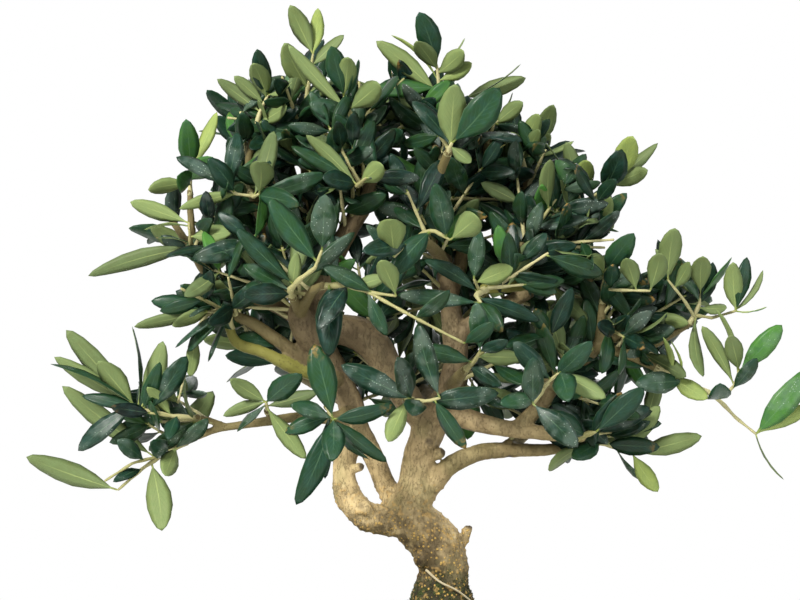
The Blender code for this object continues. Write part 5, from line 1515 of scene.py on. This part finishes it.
# %% Grow the sprays
CROWN_MIDDLE = np.array([-0.005, -0.02, 0.215])
THICKEST, LOWEST, FOREMOST = 0.010, 0.15, SHEET_Y - 0.045
HIGH_FROM = 0.31
LEAST_LEAVES = 4
ON_MAP = 0.93
LEAF_WIDTHS = (8.5, 13)
TURNED_SHARES = {"back": 0.6, "front": 0.16}


def fits(place):
    """Whether a leaf stays on the map, inside the frame's box and behind the bare limbs."""
    spots = leaf_samples(*place)
    cells = np.clip((to_sheet(spots) / CELL).astype(int), 0, len(covered) - 1)
    boxed = ((spots > BOX_LOW + 0.001) & (spots < BOX_HIGH - 0.001)).all()
    boxed = boxed and spots[:, 1].min() > FRONT_LIMIT
    behind = (spots[:, 1] > wood_depth[cells[:, 0], cells[:, 1]]).all()
    return boxed and behind and covered[cells[:, 0], cells[:, 1]].mean() > ON_MAP


def spray(base, direction, length):
    """Opposite pairs of leaves along a short twig, each pair square to the last, and one at the tip."""
    path = [base, base + direction * length]
    roll = rng.uniform(0, 180)
    turned = TURNED_SHARES["back" if base.y > BACK_FROM else "front"]
    found = []
    for pair, share in enumerate((0.3, 0.62, 0.95)):
        width = rng.uniform(*LEAF_WIDTHS) * MM
        length_here = width * LEAF_RATIO
        for side in (0, 1):
            place = next(ruled_leaf_choices(path, share, side, roll + 90 * pair, width, length_here))
            turn = rng.normal(0, 42) + 180 * (rng.random() < turned)
            found.append((*place[:2], turn, width))
    tip = path[1] + direction * 0.024
    return path, [place for place in found + [(path[1], tip, 0, 0.009)] if fits(place)]


spots = np.concatenate([path[len(path) // 4:] for path in LIMB_PATHS.values()])
spots = spots[(spots[:, 3] < THICKEST) & (spots[:, 2] > LOWEST) & (spots[:, 1] > FOREMOST)]
groups = {"sprays_left": [], "sprays_right": [], "sprays_high": []}
grown = 0
for spot in spots[rng.integers(0, len(spots), SPRAY_TRIES)]:
    out = unit(spot[:3] - CROWN_MIDDLE) * 0.7 + np.array([0, 0.1, 0.3]) + rng.normal(0, 0.6, 3)
    path, found = spray(Vector(spot[:3]), Vector(unit(out)), rng.uniform(*SPRAY_LENGTHS))
    if len(found) < LEAST_LEAVES or grown > SPRAY_LEAVES:
        continue
    side = "sprays_left" if spot[0] < CROWN_MIDDLE[0] else "sprays_right"
    group = "sprays_high" if spot[2] > HIGH_FROM else side
    # The sprays' leaves get low tones: painted shade for the inside of the crown.
    groups[group] += [twig_shell(path, 0.0013)] + leaf_shells(found, 0.03, tones=(0.0, 0.45))
    grown += len(found)
for name, shells in groups.items():
    put_mesh(name, shells, LEAF_FINISHES)
print("leaves in sprays:", grown)

# %% [markdown]
# ## Pot sizes and outlines
#
# The pot is a shallow tray: every level of it is a rectangle with round corners, written as
# |x/a|^n + |y/b|^n = 1. The sizes repeat the frame's. The soil's mound starts at the trunk and falls
# to the wall by a power of the distance.

# %% Outlines of the pot and height of the mound
POT_LENGTH, POT_DEPTH, POT_HEIGHT = 0.270, 0.196, 0.057
POT_FOOT_HEIGHT, POT_FLOOR, POT_TAPER, POT_WALL = 0.007, 0.008, 0.012, 0.009
LIP_OUT, LIP_HEIGHT = 0.005, 0.011
FOOT_SIZE, FOOT_FROM_MIDDLE = (0.046, 0.030), (0.088, 0.058)
DRAIN_RADIUS, DRAIN_FROM_MIDDLE = 0.010, 0.070
SOIL_RIM, MOUND_HEIGHT, MOUND_POWER = 0.051, 0.0645, 1.5
WALL_GAP, TRUNK_GAP = 0.0006, 0.0013
CORNER_POWER = 0.4
FLOOR = POT_FOOT_HEIGHT + POT_FLOOR
WAIST = LIP_OUT + POT_TAPER


def outline(inset, height, sides=96):
    turns = np.linspace(0, 2 * np.pi, sides, endpoint=False)
    rounded = [np.sign(f) * np.abs(f) ** CORNER_POWER for f in (np.cos(turns), np.sin(turns))]
    x = (POT_LENGTH / 2 - inset) * rounded[0]
    y = (POT_DEPTH / 2 - inset) * rounded[1]
    return np.stack([x, y, np.full(sides, height)], axis=1)


def stacked(loops, data=0.0):
    """A closed shell through loops of equally many points, with a point in the middle of each end."""
    loops = np.asarray(loops)
    points = np.concatenate([loops.reshape(-1, 3), [loops[0].mean(axis=0), loops[-1].mean(axis=0)]])
    return shell(points, *capped_faces(*loops.shape[:2]), data=data)


def mound(shares, sides):
    """Loops of the soil's surface: z = rim + (top - rim)(1 - share)^power."""
    foot = np.array(on_sheet(*LIMBS["trunk"][0][:3]))[:2]
    outer = outline(LIP_OUT + POT_WALL + WALL_GAP, SOIL_RIM, sides)[:, :2]
    inner = foot + unit(outer - foot) * (LIMBS["trunk"][0][3] * MM + TRUNK_GAP)
    share = np.broadcast_to(np.asarray(shares, float).reshape(len(shares), -1), (len(shares), sides))
    flat = inner + (outer - inner) * share[..., None]
    height = SOIL_RIM + (MOUND_HEIGHT - SOIL_RIM) * (1 - share) ** MOUND_POWER
    return np.concatenate([flat, height[..., None]], axis=2)


print("pot:", POT_LENGTH, POT_DEPTH, POT_HEIGHT)

# %% [markdown]
# ## The pot
#
# The wall is a profile of insets and heights, with a soft lip and a hollow inside. Feet are joined
# and drain holes are cut with boolean modifiers, which are applied at once. The clay is left
# unglazed, a dull brown with iron specks and a little dust.

# %% Wall, feet and drain holes
def stoneware_finish():
    finish = Finish("stoneware")
    clouds = finish.step(finish.noise(28.0, 4.0), 0.35, 0.7)
    base = finish.mix(clouds, linear("4A3328"), linear("65493A"))
    specks = finish.step(finish.cells(420.0), 0.2, 0.08)
    base = finish.mix(specks * 0.6, base, linear("241812"))
    dust = finish.step(finish.noise(120.0, 5.0, 0.7), 0.56, 0.75)
    base = finish.mix(dust * 0.25, base, linear("8C7660"))
    finish.bump(finish.noise(300.0, 4.0), 0.35, 0.0005)
    return finish.set(Base_Color=base, Roughness=0.46 + dust * 0.2)


# How much each level of a foot is larger than its size, and its height.
FOOT_PROFILE = ((-0.0034, 0.0), (-0.0026, 0.0008), (-0.0004, 0.0072), (0.0, 0.0085))


def foot_shell(x, y):
    loops = []
    for grown, height in FOOT_PROFILE:
        loop = outline(0, height, 40)
        loop[:, 0] = x + loop[:, 0] / (POT_LENGTH / 2) * (FOOT_SIZE[0] / 2 + grown)
        loop[:, 1] = y + loop[:, 1] / (POT_DEPTH / 2) * (FOOT_SIZE[1] / 2 + grown)
        loops.append(loop)
    return stacked(loops)


def cut(piece, other, operation):
    step = piece.modifiers.new("shape", "BOOLEAN")
    step.operation = operation
    step.object = other
    step.solver = "MANIFOLD"
    applied(piece)
    bpy.data.objects.remove(other, do_unlink=True)


# Inset and height of each level: from under the floor, up the outside, over the lip and down inside.
LIP = POT_HEIGHT - LIP_HEIGHT
PROFILE = [(WAIST + 0.05, 0.007), (WAIST + 0.002, 0.007), (WAIST + 0.0006, 0.0076), (WAIST, 0.009),
           (WAIST - 0.0052, 0.0245), (LIP_OUT + 0.0006, LIP - 0.0014), (LIP_OUT, LIP),
           (0.0010, LIP + 0.0002), (0.0002, LIP + 0.0010), (0.0, LIP + 0.0022),
           (0.0, POT_HEIGHT - 0.0022), (0.0004, POT_HEIGHT - 0.0008), (0.0014, POT_HEIGHT),
           (0.0118, POT_HEIGHT),
           (0.0132, POT_HEIGHT - 0.0006), (0.0140, POT_HEIGHT - 0.0020),
           (0.0140 + POT_TAPER, FLOOR + 0.003), (0.0148 + POT_TAPER, FLOOR + 0.0006),
           (0.0165 + POT_TAPER, FLOOR), (0.06, FLOOR)]
wall = stacked([outline(*level) for level in PROFILE])
pot = put_mesh("stoneware_pot", [wall], [], ["pot"])
for x in (-1, 1):
    for y in (-1, 1):
        foot = foot_shell(x * FOOT_FROM_MIDDLE[0], y * FOOT_FROM_MIDDLE[1])
        cut(pot, put_mesh("foot", [foot], []), "UNION")
    line = np.array([[x * DRAIN_FROM_MIDDLE, 0, -0.001], [x * DRAIN_FROM_MIDDLE, 0, FLOOR + 0.002]])
    drain = tube_shell(line, [DRAIN_RADIUS] * 2, 48)
    cut(pot, put_mesh("drain", [drain], []), "DIFFERENCE")
pot.data.materials.clear()
pot.data.materials.append(stoneware_finish())
pot.data.set_sharp_from_angle(angle=math.radians(38))
print("pot faces:", len(pot.data.polygons))

# %% [markdown]
# ## Drain screens
#
# A square of plastic mesh lies over each drain hole and keeps the soil in. It is two layers of round
# wires, one across the other.

# %% Drain screens of round wire
MESH_HALF, MESH_WIRES, WIRE_REACH = 0.0142, 9, 0.0148
WIRE_RADIUS, LAYER_STEP = 0.00042, 0.0004


def screen_finish():
    finish = Finish("black_mesh")
    worn = finish.step(finish.noise(600.0), 0.5, 0.7)
    base = finish.mix(worn * 0.3, linear("17181A"), linear("3A3A38"))
    return finish.set(Base_Color=base, Roughness=0.55)


mesh_finish = screen_finish()
for name, x in (("drain_screen_left", -DRAIN_FROM_MIDDLE), ("drain_screen_right", DRAIN_FROM_MIDDLE)):
    wires = []
    for at in np.linspace(-MESH_HALF, MESH_HALF, MESH_WIRES):
        down = [[at, -WIRE_REACH, 0], [at, WIRE_REACH, 0]]
        over = [[-WIRE_REACH, at, LAYER_STEP], [WIRE_REACH, at, LAYER_STEP]]
        for line in (down, over):
            place = np.array(line) + [x, 0, FLOOR + 2 * LAYER_STEP]
            wires.append(tube_shell(place, [WIRE_RADIUS] * 2, 6))
    put_mesh(name + "_wires", wires, [mesh_finish], [name])
print("wires in a screen:", len(wires))

# %% [markdown]
# ## Soil and grit
#
# The soil is a closed body from the pot's floor to its mound, with a hollow for the trunk. Its top is
# roughened by noise and strewn with fired clay grains, small tumbled stones of twenty faces each.

# %% Soil body and its grains
GRAINS = 1500
GRAIN_SIZES = (0.0007, 0.0016)


def soil_finish():
    finish = Finish("bonsai_soil")
    tone, young, chance = finish.data_parts()
    base = finish.mix(tone, linear("3A2A1C"), linear("8A6A4A"))
    grains = finish.step(finish.cells(330.0), 0.1, 0.5)
    base = finish.mix(grains * 0.5, base, linear("2A1E14"))
    finish.bump(finish.cells(330.0) * 0.6 + finish.noise(900.0) * 0.4, 0.8, 0.0012)
    return finish.set(Base_Color=base, Roughness=0.92)


def icosahedron():
    """Corners (0, +-1, +-golden) and their cyclic turns. Three corners that lie 2 apart are a face."""
    golden = (1 + 5 ** 0.5) / 2
    part = np.array([(0, one, two * golden) for one in (-1, 1) for two in (-1, 1)])
    corners = np.concatenate([part, np.roll(part, 1, axis=1), np.roll(part, 2, axis=1)])
    joined = np.isclose(np.linalg.norm(corners[:, None] - corners, axis=2), 2)
    triples = [each for each in combinations(range(12), 3) if joined[np.ix_(each, each)].sum() == 6]
    triples = np.array(triples)
    first, second, third = (corners[triples[:, each]] for each in range(3))
    outward = (np.cross(second - first, third - first) * first).sum(axis=1) > 0
    return unit(corners), np.where(outward[:, None], triples, triples[:, ::-1])


def stone_shells(centres, sizes, tones):
    """Twenty-faced stones, each corner moved in or out at random."""
    corners, faces = icosahedron()
    none = np.zeros((0, 4), int)
    shells = []
    for centre, size, tone in zip(centres, sizes, tones):
        worn = corners * size * rng.uniform(0.72, 1.15, (12, 1))
        shells.append(shell(centre + worn, none, faces, data=[tone, 0, 0, 1]))
    return shells


top = mound(np.linspace(1, 0, 26), 144)
rough = layered_noise(top.reshape(-1, 3), 0.004, 2, 31).reshape(top.shape[:2])
top[..., 2] += rough * 0.0005 - 0.0004
bottom = outline(0.0150 + POT_TAPER, FLOOR + 0.0018, 144)
hole = top[-1].copy()
hole[:, 2] = on_sheet(*LIMBS["trunk"][0][:3]).z - 0.001
soil_loops = np.concatenate([[bottom], top, [hole]])
soil_body = stacked(soil_loops, [0.35, 0, 0, 1])
around = mound(np.linspace(0.5, 0.985, 60), 220).reshape(-1, 3)
seats = around[rng.choice(len(around), GRAINS, replace=False)] + [0, 0, 0.0002]
grains = stone_shells(seats, rng.uniform(*GRAIN_SIZES, GRAINS), rng.random(GRAINS))
put_mesh("soil_mound", [soil_body] + grains, [soil_finish()], ["soil"])
print("grains:", len(grains))

# %% [markdown]
# ## Moss
#
# Moss makes cushions. The carpet's thickness is noise at two sizes, large for the cushions and fine
# for the fuzz on them, and it thins to nothing at a wavy edge. Its lower and upper rings are joined
# into one closed body, with a hole for the trunk.

# %% Moss carpet
MOSS_SIDES = 220
MOSS_RINGS = 44
MOSS_THICK, CUSHION, FUZZ = 0.0030, 0.0012, 0.0007
MOSS_LIFT = 0.0004


def moss_finish():
    finish = Finish("moss")
    fine = finish.noise(520.0, 5.0, 0.7)
    patches = finish.step(finish.noise(46.0, 3.0), 0.36, 0.66)
    base = finish.mix(patches, linear("1E260E"), linear("3F4A1C"))
    base = finish.mix(finish.step(fine, 0.5, 0.68) * 0.45, base, linear("66702E"))
    base = finish.mix(finish.step(finish.noise(90.0, 3.0), 0.6, 0.72) * 0.6, base, linear("3E301B"))
    finish.bump(fine, 0.8, 0.001)
    return finish.set(Base_Color=base, Roughness=0.95)


turns = np.linspace(0, 2 * np.pi, MOSS_SIDES, endpoint=False)
reach = 0.845 + 0.05 * np.sin(2 * turns + 0.8) + 0.03 * np.sin(5 * turns) + 0.012 * np.sin(13 * turns)
inside = np.linspace(0, 1, MOSS_RINGS)[:, None] * np.ones((1, MOSS_SIDES))
lower = mound(inside * reach, MOSS_SIDES) + [0, 0, MOSS_LIFT]
upper = lower.copy()
cushion = layered_noise(upper.reshape(-1, 3), 0.016, 2, 41).reshape(inside.shape)
fuzz = layered_noise(upper.reshape(-1, 3), 0.0028, 2, 43).reshape(inside.shape)
thickness = (MOSS_THICK + CUSHION * cushion + FUZZ * fuzz) * np.sqrt(np.clip((1 - inside) * 9, 0, 1))
upper[..., 2] += np.maximum(thickness, 0.0001)
index = np.arange(2 * MOSS_RINGS * MOSS_SIDES).reshape(-1, MOSS_SIDES)
carpet = shell(np.concatenate([lower, upper[::-1]]), ring_quads(np.concatenate([index, index[:1]])))
print("moss faces:", len(carpet[1]))

# %% [markdown]
# ## Stems of moss and one root
#
# A stem is three corners on the ground and a point above them. Some stand on the damp bark too, as a
# crust that climbs the trunk's foot. The root is a thin tube laid across the bark.

# %% Stems, crust and root
MOSS_STEMS, CRUST_STEMS = 6500, 900
STEM_HEIGHT, CRUST_HEIGHT, STEM_RADIUS = 0.0019, 0.0013, 0.0004
DAMP_FROM = 0.55
ROOT = ((426, 570, -17), (440, 582, -19), (456, 590, -18), (471, 601, -15))
ROOT_RADII = (0.0008, 0.0005)


def stem_shells(roots, height):
    """Pointed stems of four faces, leaning a little at random."""
    angle = rng.uniform(0, 6.3, (len(roots), 1)) + np.array([[0, 2.094, 4.189]])
    ring = np.stack([np.cos(angle), np.sin(angle), 0 * angle], axis=2) * STEM_RADIUS
    lean = rng.normal(0, 0.35, (len(roots), 3)) + [0, 0, 1]
    tips = roots + unit(lean) * height * rng.uniform(0.6, 1.2, (len(roots), 1))
    corners = np.concatenate([roots[:, None] + ring, tips[:, None]], axis=1).reshape(-1, 3)
    first = np.arange(len(roots))[:, None, None] * 4
    faces = np.array([[0, 2, 1], [0, 1, 3], [1, 2, 3], [2, 0, 3]])[None] + first
    return shell(corners, np.zeros((0, 4), int), faces.reshape(-1, 3))


spots = upper.reshape(-1, 3)[rng.choice(inside.size, MOSS_STEMS, replace=False)]
stems = stem_shells(spots - [0, 0, 0.0003], STEM_HEIGHT)
damp_spots = np.flatnonzero((damp > DAMP_FROM) & (points[:, 2] > SOIL_HEIGHT - 0.002))
crust = stem_shells(points[rng.choice(damp_spots, CRUST_STEMS)], CRUST_HEIGHT)
put_mesh("moss_carpet", [carpet, stems, crust], [moss_finish()], ["moss"])
root = smooth_path([on_sheet(*row) for row in ROOT], 8)
root_shell = tube_shell(root, np.linspace(*ROOT_RADII, len(root)), 7, [0.8, 0, 0, 1])
put_mesh("foot_root", [root_shell], LEAF_FINISHES[2:])
print("moss stems:", len(spots))

# %% [markdown]
# ## White studio, lights and camera
#
# The object stands before plain white. A white world gives that and fills the shadows. One soft key
# light from the upper left front shapes the leaves, and a weaker one from the right keeps the wood
# from going flat. The camera stands at the drawing sheet's eye point, so the picture matches the
# sheet. The floor is a pale disc, small enough to stay out of the front view.

# %% Studio
def area_light(name, place, aim, size, power, tint):
    light = bpy.data.lights.new(name, "AREA")
    light.energy = power
    light.size = size
    light.color = tint
    item = bpy.data.objects.new(name, light)
    item.location = place
    item.rotation_euler = (Vector(aim) - Vector(place)).to_track_quat("-Z", "Y").to_euler()
    bpy.context.scene.collection.objects.link(item)


scene = bpy.context.scene
world = bpy.data.worlds.new("white_room")
scene.world = world
world.use_nodes = True
world.node_tree.nodes["Background"].inputs["Color"].default_value = (1, 1, 1, 1)
world.node_tree.nodes["Background"].inputs["Strength"].default_value = 1.0
area_light("key", (-0.75, -1.0, 1.05), (0, 0, 0.24), 0.35, 46, (1.0, 0.98, 0.94))
area_light("side", (1.0, -0.6, 0.5), (0, 0, 0.22), 0.6, 6, (0.95, 0.98, 1.0))
area_light("back", (0.3, 1.1, 0.9), (0, 0, 0.24), 0.6, 10, (1.0, 1.0, 1.0))

FLOOR_RADIUS = 0.55
floor_finish = Finish("studio_floor").set(Base_Color=linear("F8F8F6"), Roughness=0.8)
turns = np.linspace(0, 2 * np.pi, 96, endpoint=False)
disc = np.stack([np.cos(turns), np.sin(turns), np.zeros(96)], axis=1) * FLOOR_RADIUS
floor_shell = stacked([disc - [0, 0, height] for height in (0.004, 0.0002)])
floor_mesh = bpy.data.meshes.new("studio_floor")
floor_mesh.from_pydata(floor_shell[0].tolist(), [], floor_shell[1].tolist() + floor_shell[2].tolist())
floor_mesh.materials.append(floor_finish)
studio_floor = bpy.data.objects.new("studio_floor", floor_mesh)
scene.collection.objects.link(studio_floor)

camera = bpy.data.cameras.new("front_camera")
camera.sensor_width = 36
camera.lens = 36 * EYE_DISTANCE / (800 * SHEET)
eye = bpy.data.objects.new("front_camera", camera)
eye.location = (EYE_X, SHEET_Y - EYE_DISTANCE, EYE_Z)
eye.rotation_euler = (math.pi / 2, 0, 0)
scene.collection.objects.link(eye)
scene.camera = eye
scene.view_settings.view_transform = "Standard"
print("lens:", round(camera.lens, 1))

# %% [markdown]
# ## The end
